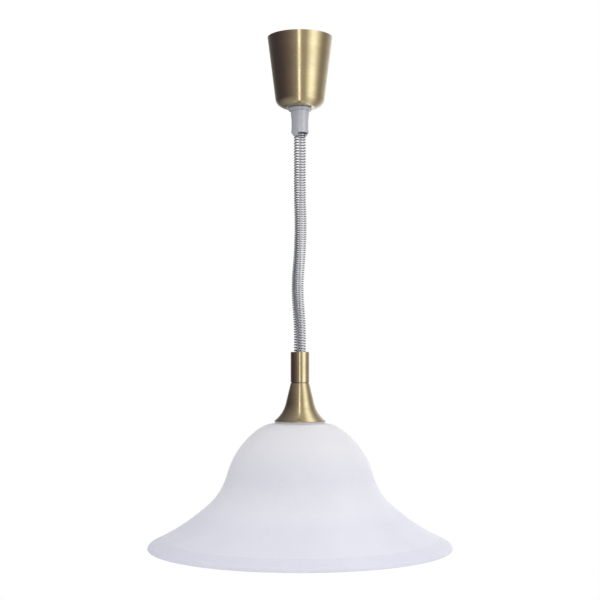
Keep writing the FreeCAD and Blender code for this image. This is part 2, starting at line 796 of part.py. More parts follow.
# ---- outlet and flex ----
def tip_notch():
    a0, a1 = math.radians(notch_from), math.radians(notch_to)
    reach = nozzle_lip_r * 2
    corners = [ORIGIN]
    for k in range(4):
        a = a0 + (a1 - a0) * k / 3
        corners.append(at(reach * math.cos(a), reach * math.sin(a), 0))
    face = Part.Face(Part.makePolygon(corners + corners[:1]))
    solid = face.extrude(UP * nozzle_tip_h)
    solid.translate(at(0, 0, lip_low - nozzle_tip_h - notch_under_lip))
    return solid


def outlet_nozzle():
    root = plate_under - nozzle_root_h
    waist = root - nozzle_taper_h
    lip_high = lip_low + nozzle_lip_h
    shank_top = plate_under + nozzle_shank_h
    inner_tip = nozzle_tip_r - nozzle_tip_wall
    slope = (nozzle_lip_r - nozzle_tip_r) / nozzle_tip_h
    inner_z = tip_low + (nozzle_bore_r - inner_tip) / slope
    flare = nozzle_lip_r - nozzle_waist_r
    points = [(nozzle_bore_r, shank_top), (nozzle_shank_r, shank_top), (nozzle_shank_r, plate_under),
              (nozzle_root_r, plate_under), (nozzle_root_r, root), (nozzle_waist_r, waist),
              (nozzle_waist_r, lip_high + flare * 3), (nozzle_lip_r, lip_high), (nozzle_lip_r, lip_low),
              (nozzle_tip_r, tip_low), (inner_tip, tip_low), (nozzle_bore_r, inner_z)]
    return spun(points).cut(tip_notch())


def nozzle_nut():
    return nut(nozzle_nut_af, nozzle_shank_r + thread_gap, nozzle_nut_h, at(0, 0, plate_top))


def cord_guide():
    """Bush in the nozzle's top: a smooth eye for the cord and a place for the flex."""
    shank_top = plate_under + nozzle_shank_h
    plug_r = nozzle_bore_r - running_gap
    eye = guide_eye_r
    points = [(eye, shank_top - guide_plug_h), (plug_r, shank_top - guide_plug_h), (plug_r, shank_top),
              (guide_flange_r, shank_top), (guide_flange_r, guide_high), (eye + guide_eye_bevel, guide_high),
              (eye, guide_high - guide_eye_bevel)]
    hole_r = flex_r + bush_hole_gap
    place = round_the_axis(tail_out, upper_tail_angle, shank_top - guide_plug_h)
    hole = cylinder(hole_r, guide_plug_h + guide_flange_h, place)
    side = box(0, nozzle_bore_r, -hole_r, hole_r, 0, guide_plug_h)
    side.rotate(ORIGIN, UP, upper_tail_angle)
    radial = round_the_axis(tail_out, upper_tail_angle, 0)
    side.translate(at(radial.x, radial.y, shank_top - guide_plug_h))
    return spun(points).cut(hole.fuse(side))


def coil_turns():
    span = upper_tail_angle - lower_tail_angle - 2 * tail_lead
    return curls + span / 360


def coil_place(share):
    """Centre of the wire on the coil; share runs from 0 at the bottom to 1 at the top."""
    turns = coil_turns()
    t0 = closest_at
    mean = 1 + t0 * pitch_rise_low / 3 + (1 - t0) * pitch_rise_top / 3
    if share < t0:
        done = share + pitch_rise_low * t0 / 3 * (1 - ((t0 - share) / t0) ** 3)
    else:
        done = share + pitch_rise_low * t0 / 3 + pitch_rise_top * (1 - t0) / 3 * ((share - t0) / (1 - t0)) ** 3
    x = 0.0
    for (middle, reach), size in zip(sway_places, (sway_right, -sway_left)):
        away = abs(share - middle) / reach
        if away < 1:
            x += size * math.cos(math.pi / 2 * away) ** 2
    a = math.radians(lower_tail_angle + tail_lead + 360 * turns * share)
    z = coil_low + (coil_top - coil_low) * done / mean
    return at(x + curl_r * math.cos(a), curl_r * math.sin(a), z)


def coil_heading(share):
    step = 1e-5
    low, high = max(share - step, 0.0), min(share + step, 1.0)
    return (coil_place(high) - coil_place(low)).normalize()


def curly_flex():
    """The coiled flex as one tube: a straight tail, the curls, and a straight tail."""
    pieces = int(round(coil_turns() * steps_per_turn))
    base = round_the_axis(tail_out, lower_tail_angle, lower_join)
    edges = [line(base, base + UP * flex_tail)]
    here, heading = base + UP * flex_tail, UP
    for k in range(pieces + 1):
        place, direction = coil_place(k / pieces), coil_heading(k / pieces)
        edges += biarc(here, heading, place, direction)
        here, heading = place, direction
    top = round_the_axis(tail_out, upper_tail_angle, upper_join)
    edges += biarc(here, heading, top - UP * flex_tail, UP)
    edges.append(line(top - UP * flex_tail, top))
    solid = swept_wire(edges, base, UP, flex_r, wire_sides)
    per_turn = 36
    count = int(coil_turns() * per_turn)
    points = [coil_place(k / count) for k in range(count + 1)]
    wire = Part.Wire(edges).Length
    print(f"curly_flex: {coil_turns():.2f} turns, wire {wire:.0f}, least gap "
          f"{least_gap(points, flex_r, per_turn):.2f}, smallest radius {curl_bend_r:.1f}")
    return solid


def upper_flex():
    tail = round_the_axis(tail_out, upper_tail_angle, 0)
    end = sheath_top
    turn_in = plate_low - (end - plate_low) * 0.75
    leave = guide_high + (turn_in - guide_high) * 0.52
    return routed([at(tail.x, tail.y, upper_join), at(tail.x, tail.y, leave),
                   at(flex_up_x, 0, turn_in), at(flex_up_x, 0, end)], flex_r, "upper_flex")


def cores(x0, y0, z0, z1, x1, y1, z2, z3, name):
    """Two cores leaving a sheath's end at (x0, +-y0, z0) for their terminals at (x1, +-y1, z3)."""
    return Part.makeCompound([
        routed([at(x0, side * y0, z0), at(x0, side * y0, z1), at(x1, side * y1, z2), at(x1, side * y1, z3)],
               core_r, name) for side in (-1, 1)])


def upper_cores():
    return cores(flex_up_x, core_r + core_apart / 2, sheath_top, sheath_top + core_out, pole_x,
                 pole_pitch / 2, block_low - core_in, block_low + block_l * 0.3, "upper_cores")


# ---- terminals in the cup ----
def terminal_plate():
    inner = frame_inner_w / 2
    plate = box(plate_x, plate_x + plate_t, -inner, inner, plate_low, plate_low + plate_h)
    ears = [box(plate_x, plate_x + plate_ear, min(s * inner, s * (inner - plate_t)),
                max(s * inner, s * (inner - plate_t)), plate_low, plate_low + plate_h) for s in (-1, 1)]
    holes = [cylinder(plate_screw_r + thread_gap, plate_t, at(x, side * (inner - plate_t), z), ALONG_Y * side)
             for side, x, z in plate_screw_places()]
    for y, z in block_screw_places() + saddle_screw_places():
        holes.append(cylinder(saddle_screw_r + thread_gap, plate_t, at(plate_x, y, z), ALONG_X))
    return fuse([plate] + ears).cut(Part.makeCompound(holes))


def plate_screws():
    return Part.makeCompound([
        screw(plate_screw_r, frame_t + plate_t, plate_screw_r * 1.8, plate_screw_r * 1.1,
              at(x, side * cheek_half, z), ALONG_Y * side) for side, x, z in plate_screw_places()])


def pole_places():
    return [pole_pitch * (k - (poles - 1) / 2) for k in range(poles)]


def block_screw_places():
    return [(0.0, block_low + block_l * 0.5)]


def pole_screw_levels():
    return [block_low + block_l * 0.25, block_low + block_l * 0.75]


def terminal_block():
    half = pole_pitch * (poles - 1) / 2 + pole_r
    face_x = plate_x + plate_t
    shapes = [box(face_x, face_x + block_base, -half, half, block_low, block_low + block_l)]
    for y in pole_places():
        shapes.append(cylinder(pole_r, block_l, at(pole_x, y, block_low)))
        shapes.append(box(face_x, pole_x, y - pole_r, y + pole_r, block_low, block_low + block_l))
        for z in pole_screw_levels():
            shapes.append(cylinder(pole_screw_r + block_boss_wall, pole_r + block_boss_h, at(pole_x, y, z), ALONG_X))
    holes = []
    for y in pole_places():
        holes.append(cylinder(insert_r, block_l - 2 * insert_inset, at(pole_x, y, block_low + insert_inset)))
        holes.append(cylinder(insert_bore_r, block_l, at(pole_x, y, block_low)))
        for z in pole_screw_levels():
            holes.append(cylinder(pole_screw_r + pole_screw_gap, pole_r + block_boss_h, at(pole_x, y, z), ALONG_X))
    for y, z in block_screw_places():
        holes.append(cylinder(saddle_screw_r + thread_gap, block_base, at(face_x, y, z), ALONG_X))
        holes.append(cylinder(block_head_r + free_gap / 2, pole_r * 4, at(face_x + block_base, y, z), ALONG_X))
    return fuse(shapes).cut(Part.makeCompound(holes))


def terminal_inserts():
    inserts = []
    for y in pole_places():
        brass = ring(insert_r, insert_bore_r, block_l - 2 * insert_inset, at(pole_x, y, block_low + insert_inset))
        for z in pole_screw_levels():
            brass = brass.cut(cylinder(pole_screw_r, insert_r * 2, at(pole_x, y, z), ALONG_X))
        inserts.append(brass)
    return Part.makeCompound(inserts)


def terminal_screws():
    return Part.makeCompound([
        screw(pole_screw_r - thread_gap, insert_r - core_r, pole_screw_r + pole_head_over, pole_head_h,
              at(pole_x + insert_r, y, z), ALONG_X)
        for y in pole_places() for z in pole_screw_levels()])


def block_screws():
    return Part.makeCompound([
        screw(saddle_screw_r, block_base + plate_t, block_head_r, saddle_screw_r,
              at(plate_x + plate_t + block_base, y, z), ALONG_X) for y, z in block_screw_places()])


def saddle_low():
    return plate_low + saddle_over_edge


def saddle_screw_places():
    return [(side * saddle_screw_at, saddle_low() + saddle_h / 2) for side in (-1, 1)]


def flex_saddle():
    face_x = plate_x + plate_t
    bar = box(face_x, face_x + saddle_t, -saddle_w / 2, saddle_w / 2, saddle_low(), saddle_low() + saddle_h)
    groove = cylinder(flex_r, saddle_h, at(flex_up_x, 0, saddle_low()))
    mouth = box(face_x, flex_up_x, -flex_r, flex_r, saddle_low(), saddle_low() + saddle_h)
    holes = [cylinder(saddle_screw_r + thread_gap, saddle_t, at(face_x, y, z), ALONG_X)
             for y, z in saddle_screw_places()]
    return bar.cut(Part.makeCompound([groove.fuse(mouth)] + holes))


def saddle_screws():
    return Part.makeCompound([
        screw(saddle_screw_r, saddle_t + plate_t, saddle_screw_r * 1.1, saddle_screw_r,
              at(plate_x + plate_t + saddle_t, y, z), ALONG_X) for y, z in saddle_screw_places()])


# ---- ceiling cup ----
def sheet(start, heading, steps, t):
    """Face of a sheet whose outer side follows the walk; t is its thickness to the side below
    the walk, or above it where negative."""
    h = math.radians(heading)
    outer, out_end, _ = walk(start, heading, steps)
    inside = start + at(-math.sin(h), 0, -math.cos(h)) * t
    offset = [(0, a) if r == 0 else (r - math.copysign(t, a) * math.copysign(1, t), a) for r, a in steps]
    inner, in_end, _ = walk(inside, heading, offset)
    edges = outer + [line(out_end, in_end)] + inner[::-1] + [line(inside, start)]
    return Part.Face(Part.Wire(edges))


def ceiling_cup():
    slope = math.atan((cup_top_r - cup_bottom_r) / cup_h)
    turn = math.pi / 2 - slope
    reach = cup_corner_r * math.tan(turn / 2)
    hole = bush_shank_r + running_gap
    side = cup_h / math.cos(slope) - reach + cup_wall * 2
    face = sheet(at(hole, 0, cup_low), 0, [(0, cup_bottom_r - reach - hole), (cup_corner_r, -math.degrees(turn)),
                                           (0, side)], -cup_wall)
    cup = face.revolve(ORIGIN, UP, 360)
    return cup.cut(cylinder(cup_top_r * 2, cup_h, at(0, 0, cup_rise)))


def cup_bush():
    bore = nozzle_root_r + running_gap * 2
    top = cup_low + cup_wall + bush_flange_t
    low = cup_low - ring_h + ring_lip_h
    points = [(bore, low), (bush_shank_r, low), (bush_shank_r, cup_low + cup_wall),
              (bush_flange_r, cup_low + cup_wall), (bush_flange_r, top), (bore, top)]
    return spun(points)


def cup_ring():
    bore = nozzle_root_r + running_gap * 2
    low = cup_low - ring_h
    thread = bush_shank_r + thread_gap
    points = [(bore, low), (ring_r, low), (ring_r, cup_low), (thread, cup_low), (thread, low + ring_lip_h),
              (bore, low + ring_lip_h)]
    collar = spun(points)
    rims = [e for e in collar.Edges if abs(e.Length - 2 * math.pi * ring_r) < 0.01]
    return collar.makeFillet(ring_round, rims)


# ---- lamp head ----
def bush_top():
    return tube_top - tube_lip_h


def bush_low():
    return bush_top() - bush_h


def brass_tube():
    bore = tube_r - tube_wall
    points = [(bore, seam_top), (tube_r, seam_top), (tube_r, tube_top), (tube_lip_r, tube_top),
              (tube_lip_r, bush_top()), (bore, bush_top())]
    tube = spun(points)
    rim = [e for e in tube.Edges if abs(e.Length - 2 * math.pi * tube_r) < 0.01 and e.BoundBox.ZMin > tube_top - 0.1]
    return tube.makeFillet(tube_lip_h * 0.5, rim)


def tube_bush():
    r = tube_r - tube_wall - running_gap
    body = ring(r, guide_eye_r, bush_h, at(0, 0, bush_low()))
    place = round_the_axis(tail_out, lower_tail_angle, bush_low())
    return body.cut(cylinder(flex_r + bush_hole_gap, bush_h, place))


def cord_ferrule():
    return ring(ferrule_r, cord_r + running_gap, ferrule_h, at(0, 0, bush_low() - ferrule_h))


def tube_disc():
    return ring(tube_r - tube_wall - running_gap, nipple_r + thread_gap, tube_floor, at(0, 0, seam_top))


def seam_washer():
    return ring(tube_r - seam_inset, nipple_r + thread_gap, seam_h, at(0, 0, cone_top))


def trumpet_cone():
    heading = 90 - cone_half_angle
    run = cone_straight_h / math.cos(math.radians(cone_half_angle))
    steps = [(0, run), (cone_flare_r, cone_half_angle - cone_flare_end)]
    wall = sheet(at(cone_top_r, 0, cone_top), heading, steps, cone_wall).revolve(ORIGIN, UP, 360)
    wall = wall.cut(cylinder(cone_top_r * 2, cone_wall, at(0, 0, cone_top)))
    cap = ring(cone_top_r, nipple_r + thread_gap, cone_cap_t, at(0, 0, cone_top - cone_cap_t))
    bead = Part.makeTorus(mouth_r(), cone_bead_r, at(0, 0, cone_low + cone_bead_r))
    return fuse([wall, cap, bead])


def mouth_r():
    a0, a1 = math.radians(cone_half_angle), math.radians(cone_flare_end)
    return cone_top_r + cone_straight_h * math.tan(a0) + cone_flare_r * (math.cos(a0) - math.cos(a1))


def nipple_top():
    return seam_top + tube_floor + nipple_above


def nipple():
    low = holder_top - holder_neck_h - nipple_past_neck
    return ring(nipple_r, nipple_bore_r, nipple_top() - low, at(0, 0, low))


def nipple_nuts():
    bore = nipple_r + thread_gap
    over = nut(nut_af, bore, nut_h, at(0, 0, seam_top + tube_floor))
    under = nut(nut_af, bore, nut_h, at(0, 0, cone_top - cone_cap_t - nut_h))
    return Part.makeCompound([over, under])


def cord_grip():
    low = nipple_top() - grip_overlap
    body = cylinder(grip_r, grip_h, at(0, 0, low))
    rim = [e for e in body.Edges if abs(e.Length - 2 * math.pi * grip_r) < 0.01 and e.BoundBox.ZMin > low + 1]
    body = body.makeFillet(grip_round, rim)
    thread = cylinder(nipple_r + thread_gap, grip_overlap, at(0, 0, low))
    bore = cylinder(flex_r + running_gap, grip_h, at(0, 0, low))
    side = cylinder(grip_screw_r + thread_gap, grip_r, at(0, 0, grip_screw_level()), ALONG_X)
    return body.cut(Part.makeCompound([thread.fuse(bore).fuse(side)]))


def grip_screw_level():
    return nipple_top() + (grip_h - grip_overlap) * 0.45


def grip_screw():
    return screw(grip_screw_r, grip_r - flex_r, grip_screw_r * 1.6, grip_screw_r,
                 at(grip_r, 0, grip_screw_level()), ALONG_X)


def sheath_end():
    return holder_top - sheath_end_drop


def lower_flex():
    tail = round_the_axis(tail_out, lower_tail_angle, 0)
    leave = bush_low() - lower_tail
    arrive = leave - tail_out * 1.2
    return routed([at(tail.x, tail.y, lower_join), at(tail.x, tail.y, leave), at(0, 0, arrive),
                   at(0, 0, sheath_end())], flex_r, "lower_flex")


def lower_cores():
    end = sheath_end()
    top = carrier_top + contact_block_h
    return cores(0, core_r + core_apart / 2, end, end - lower_core_out, 0, contact_out,
                 top + lower_core_in, carrier_top + lower_core_end, "lower_cores")


def lampholder_cap():
    """Domed cap with a threaded neck; its spigot holds the contact carrier down on its ledge."""
    neck_low = holder_top - holder_neck_h
    spigot_r = holder_r - holder_wall - thread_gap
    inner = spigot_r - cap_wall
    bore = nipple_r + thread_gap
    outer = [(bore, holder_top), (holder_neck_r, holder_top), (holder_neck_r, neck_low)]
    for k in range(1, 7):
        a = math.pi / 2 * k / 6
        outer.append((holder_neck_r + (holder_dome_r - holder_neck_r) * math.sin(a),
                      skirt_top + holder_brow_h + (holder_dome_h - holder_brow_h) * math.cos(a)))
    outer += [(holder_r, skirt_top + holder_brow_h), (holder_r, skirt_top), (spigot_r, skirt_top),
              (spigot_r, carrier_top), (inner, carrier_top), (inner, skirt_top)]
    dome = []
    for k in range(5, -1, -1):
        a = math.pi / 2 * k / 6
        dome.append((bore + (inner - bore) * math.sin(a),
                     skirt_top + (holder_dome_h - cap_wall) * math.cos(a)))
    return spun(outer + dome)


def lampholder_skirt():
    bore = holder_r - holder_wall
    lower = bore - holder_ledge
    points = [(lower, carrier_low), (bore, carrier_low), (bore, skirt_top), (holder_r, skirt_top),
              (holder_r, holder_low + holder_bevel), (holder_r - holder_bevel, holder_low), (holder_mouth_r, holder_low),
              (holder_mouth_r, holder_low + holder_mouth_t), (lower, holder_low + holder_mouth_t)]
    return spun(points)


def contact_carrier():
    r = holder_r - holder_wall - running_gap * 2
    body = cylinder(r, carrier_h, at(0, 0, carrier_low))
    holes = [cylinder(rivet_r + running_gap, carrier_h, at(0, s * contact_out, carrier_low)) for s in (-1, 1)]
    return body.cut(Part.makeCompound(holes))


def contact_blocks():
    blocks = []
    half = contact_block / 2
    for s in (-1, 1):
        y = s * contact_out
        block = box(-half, half, y - half, y + half, carrier_top, carrier_top + contact_block_h)
        core_hole = cylinder(core_r + contact_hole_gap, contact_block_h - contact_floor,
                             at(0, y, carrier_top + contact_floor))
        screw_hole = cylinder(holder_screw_r, half * 2, at(0, y, holder_screw_level()), ALONG_Y * s)
        blocks.append(block.cut(core_hole.fuse(screw_hole)))
    return Part.makeCompound(blocks)


def holder_screw_level():
    return carrier_top + contact_block_h / 2


def holder_screws():
    seat = contact_out + contact_block / 2 + holder_screw_out
    return Part.makeCompound([
        screw(holder_screw_r - thread_gap, seat - contact_out - core_r, holder_screw_r * 1.5, holder_screw_head_h,
              at(0, s * seat, holder_screw_level()), ALONG_Y * s) for s in (-1, 1)])


def contact_tongue():
    """Middle contact, riveted to its terminal through the carrier."""
    t = shell_t
    z = carrier_low
    end, low = contact_out + tongue_foot, z - tongue_drop
    outline = [(end, z), (end, z - t), (tongue_root, z - t), (-tongue_knee, low - t), (-tongue_tip, low - t),
               (-tongue_tip, low), (-tongue_knee + t * 0.6, low), (tongue_root + t * 0.4, z)]
    corners = [at(-tongue_w / 2, y, h) for y, h in outline]
    strip = Part.Face(Part.makePolygon(corners + corners[:1])).extrude(ALONG_X * tongue_w)
    rivet = cylinder(rivet_r, carrier_h, at(0, contact_out, carrier_low))
    return fuse([strip, rivet])


def screw_shell():
    t = shell_t
    low = carrier_low - shell_h
    shoulder = carrier_low - tongue_drop - 2 * t
    wide = shell_bore_r + shell_step
    points = [(shell_bore_r, low), (shell_bore_r + t, low), (shell_bore_r + t, shoulder - t),
              (wide + t, shoulder - t), (wide + t, carrier_low - t), (shell_flange_r, carrier_low - t),
              (shell_flange_r, carrier_low), (wide, carrier_low), (wide, shoulder), (shell_bore_r, shoulder)]
    tab = box(-tongue_w / 2, tongue_w / 2, -wide - t / 2, -contact_out + tongue_foot, carrier_low - t, carrier_low)
    rivet = cylinder(rivet_r, carrier_h, at(0, -contact_out, carrier_low))
    return fuse([spun(points), tab, rivet])


# ---- shade and its fastening ----
def upper_shade_ring():
    return ring(upper_ring_r, holder_r + thread_gap, upper_ring_h, at(0, 0, crown_z))


def ring_washer():
    return ring(lower_ring_r, holder_r + thread_gap, fibre_t, at(0, 0, crown_z - glass_t - fibre_t))


def lower_shade_ring():
    low = crown_z - glass_t - fibre_t - lower_ring_h
    body = ring(lower_ring_r, holder_r + thread_gap, lower_ring_h, at(0, 0, low))
    grips = []
    for k in range(lower_ring_grips):
        a = 360.0 / lower_ring_grips * k
        grips.append(cylinder(grip_notch_r, lower_ring_h, round_the_axis(lower_ring_r + grip_notch_out, a, low)))
    return body.cut(Part.makeCompound(grips))


def glass_shade():
    """Opal glass: a flat crown, a round shoulder and a wide brim with a soft turned-down edge."""
    slope = sum(shade_turns)
    steps = [(0, shade_crown_r - shade_hole_r)] + shade_arcs + [(shade_lip_r, 90 - slope)]
    start = at(shade_hole_r, 0, crown_z)
    _, rim, _ = walk(start, 0, steps)
    glass = sheet(start, 0, steps, glass_t).revolve(ORIGIN, UP, 360)
    edge = [e for e in glass.Edges if abs(e.BoundBox.ZMin - rim.z) < 0.01 and abs(e.BoundBox.ZMax - rim.z) < 0.01
            and e.BoundBox.XLength > rim.x]
    glass = glass.makeFillet(glass_t * 0.42, edge)
    print(f"glass_shade: radius {rim.x:.1f}, rim at {rim.z:.1f}, faces {len(glass.Faces)}")
    return glass.cut(band_cutter(start, steps, rim))


def band_cutter(start, steps, rim):
    """A fine groove round the glass where its border begins."""
    r = rim.x - band_w
    edges, _, _ = walk(start, 0, steps)
    line_out = [p for e in edges for p in e.discretize(200)]
    if line_out[0].x > line_out[-1].x:
        line_out = line_out[::-1]
    z = next(p.z + (q.z - p.z) * (r - p.x) / (q.x - p.x)
             for p, q in zip(line_out, line_out[1:]) if p.x <= r < q.x)
    w = band_groove * 2
    return spun([(r - w, z + w), (r + w, z + w), (r, z - band_groove)])


def shade_gasket():
    r_out = mouth_r() - gasket_inset + cone_bead_r
    body = ring(r_out, r_out - gasket_w, shade_gap + glass_t * 0.5, at(0, 0, cone_low - shade_gap - glass_t * 0.5))
    return body.cut(glass_shade())


PARTS = {
    "ceiling_eye": ceiling_eye, "hanger_strap": hanger_strap, "strap_screws": strap_screws,
    "reel_frame": reel_frame, "reel_axle": slotted_axle, "axle_circlip": axle_circlip,
    "thrust_washers": thrust_washers, "brake_nut": brake_nut, "outlet_nozzle": outlet_nozzle,
    "nozzle_nut": nozzle_nut, "cord_guide": cord_guide, "upper_flex": upper_flex,
    "upper_cores": upper_cores, "terminal_plate": terminal_plate, "plate_screws": plate_screws,
    "terminal_block": terminal_block, "block_screws": block_screws, "terminal_inserts": terminal_inserts,
    "terminal_screws": terminal_screws, "flex_saddle": flex_saddle, "saddle_screws": saddle_screws,
    "curly_flex": curly_flex, "suspension_cord": suspension_cord,
    "drum": anchored_drum, "barrel_lid": barrel_lid, "mainspring": mainspring,
    "cord_winding": cord_winding, "cord_stop": cord_stop, "brake_screw": brake_screw,
    "ceiling_cup": ceiling_cup, "cup_bush": cup_bush, "cup_ring": cup_ring,
    "brass_tube": brass_tube, "tube_bush": tube_bush, "cord_ferrule": cord_ferrule,
    "tube_disc": tube_disc, "seam_washer": seam_washer, "trumpet_cone": trumpet_cone,
    "nipple": nipple, "nipple_nuts": nipple_nuts, "cord_grip": cord_grip, "grip_screw": grip_screw,
    "lower_flex": lower_flex, "lower_cores": lower_cores, "lampholder_cap": lampholder_cap,
    "lampholder_skirt": lampholder_skirt, "contact_carrier": contact_carrier,
    "contact_blocks": contact_blocks, "holder_screws": holder_screws, "contact_tongue": contact_tongue,
    "screw_shell": screw_shell, "upper_shade_ring": upper_shade_ring,
    "lower_shade_ring": lower_shade_ring, "ring_washer": ring_washer, "shade_gasket": shade_gasket,
    "glass_shade": glass_shade,
}


def main():
    os.makedirs("parts", exist_ok=True)
    for name, make in PARTS.items():
        shape = make()
        shape.exportStep(f"parts/{name}.step")
    print(len(PARTS), "parts")


main()
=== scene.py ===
"""Dress a rise and fall pendant: brass ceiling cup, coiled flex, brass trumpet, opal glass shade.

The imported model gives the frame. Each class below makes the visible skin of one sub-assembly from
its own sizes, in metres, gives it a finish, and hands it to the CAD body that carries it.
"""
from __future__ import annotations

import logging
import math
from collections.abc import Iterable, Sequence
from dataclasses import dataclass, field
from enum import Enum

import bpy
import numpy as np
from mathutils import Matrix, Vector

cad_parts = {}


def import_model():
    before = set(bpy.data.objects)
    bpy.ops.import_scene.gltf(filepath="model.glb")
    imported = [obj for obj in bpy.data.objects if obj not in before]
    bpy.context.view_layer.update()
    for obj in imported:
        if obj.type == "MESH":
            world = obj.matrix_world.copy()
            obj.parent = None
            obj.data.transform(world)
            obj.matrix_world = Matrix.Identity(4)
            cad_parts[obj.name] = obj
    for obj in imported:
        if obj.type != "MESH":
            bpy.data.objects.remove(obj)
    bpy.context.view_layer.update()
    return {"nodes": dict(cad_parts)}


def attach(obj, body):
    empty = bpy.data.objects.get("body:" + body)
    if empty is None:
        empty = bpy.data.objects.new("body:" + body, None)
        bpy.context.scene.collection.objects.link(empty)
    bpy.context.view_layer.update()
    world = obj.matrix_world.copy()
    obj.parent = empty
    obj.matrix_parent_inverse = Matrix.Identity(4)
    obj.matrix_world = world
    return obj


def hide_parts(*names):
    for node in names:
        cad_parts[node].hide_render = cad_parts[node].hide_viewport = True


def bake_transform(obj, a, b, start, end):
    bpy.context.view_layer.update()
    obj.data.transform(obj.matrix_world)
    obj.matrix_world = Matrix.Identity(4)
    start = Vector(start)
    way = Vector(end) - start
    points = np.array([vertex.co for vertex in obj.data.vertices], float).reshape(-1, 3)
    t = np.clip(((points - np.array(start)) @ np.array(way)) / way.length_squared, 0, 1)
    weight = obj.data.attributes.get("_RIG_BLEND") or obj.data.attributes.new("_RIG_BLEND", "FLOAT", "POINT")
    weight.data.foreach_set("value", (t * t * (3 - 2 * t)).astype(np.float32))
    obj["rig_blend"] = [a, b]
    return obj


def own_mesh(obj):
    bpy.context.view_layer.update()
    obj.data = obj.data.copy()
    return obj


LOG = logging.getLogger("pendant")
MM = 0.001
WHITE = (1.0, 1.0, 1.0, 1.0)
# Metres of grain to each radian round the axis, so few that brushing shows as long lines.
LATHE_STRETCH = 0.004
# Clouding is this many times as wide as the grain.
CLOUD_GRAINS = 14
# The values that most of a noise texture lies between.
NOISE_LOW, NOISE_HIGH = 0.3, 0.7
# Steps in a rounded edge of a quarter turn.
QUARTER_STEPS = 6
Point = tuple[float, float, float]
Outline = list[tuple[float, float]]


class Body(Enum):
    """The moving bodies of the frame that pieces ride on."""

    REEL_UNIT = "reel_unit"
    DRUM = "reel_drum"
    CANOPY = "canopy"
    LAMP_HEAD = "lamp_head"


# ---------------------------------------------------------------- nodes and colours
def linear(hex_colour: str) -> tuple[float, float, float, float]:
    """Turn an sRGB colour written as hex into the linear colour that shaders take.

    Args:
        hex_colour: Six hex digits, with or without a leading hash.

    Returns:
        Red, green, blue and an alpha of one.
    """
    digits = hex_colour.lstrip("#")
    channels = [int(digits[i : i + 2], 16) / 255 for i in (0, 2, 4)]
    r, g, b = (c / 12.92 if c <= 0.04045 else ((c + 0.055) / 1.055) ** 2.4 for c in channels)
    return (r, g, b, 1.0)


def add_node(
    tree: bpy.types.NodeTree,
    kind: str,
    inputs: dict[str | int, object] | None = None,
    **settings: object,
) -> bpy.types.Node:
    """Add a node, set it up and link it.

    Args:
        tree: Node tree that gets the node.
        kind: Blender's name for the node type.
        inputs: Value, or the socket to link from, for each input by name or number.
        **settings: Properties of the node itself.

    Returns:
        The new node.
    """
    node = tree.nodes.new(kind)
    for name, value in settings.items():
        setattr(node, name, value)
    for name, value in (inputs or {}).items():
        if isinstance(value, bpy.types.NodeSocket):
            tree.links.new(value, node.inputs[name])
        else:
            node.inputs[name].default_value = value
    return node


def ramp(node: bpy.types.Node, stops: Sequence[tuple[float, tuple[float, ...]]]) -> None:
    """Give a colour ramp its stops.

    Args:
        node: The colour ramp node.
        stops: Position and colour of each stop, in order.
    """
    elements = node.color_ramp.elements
    while len(elements) < len(stops):
        elements.new(1.0)
    for element, (place, colour) in zip(elements, stops):
        element.position = place
        element.color = colour


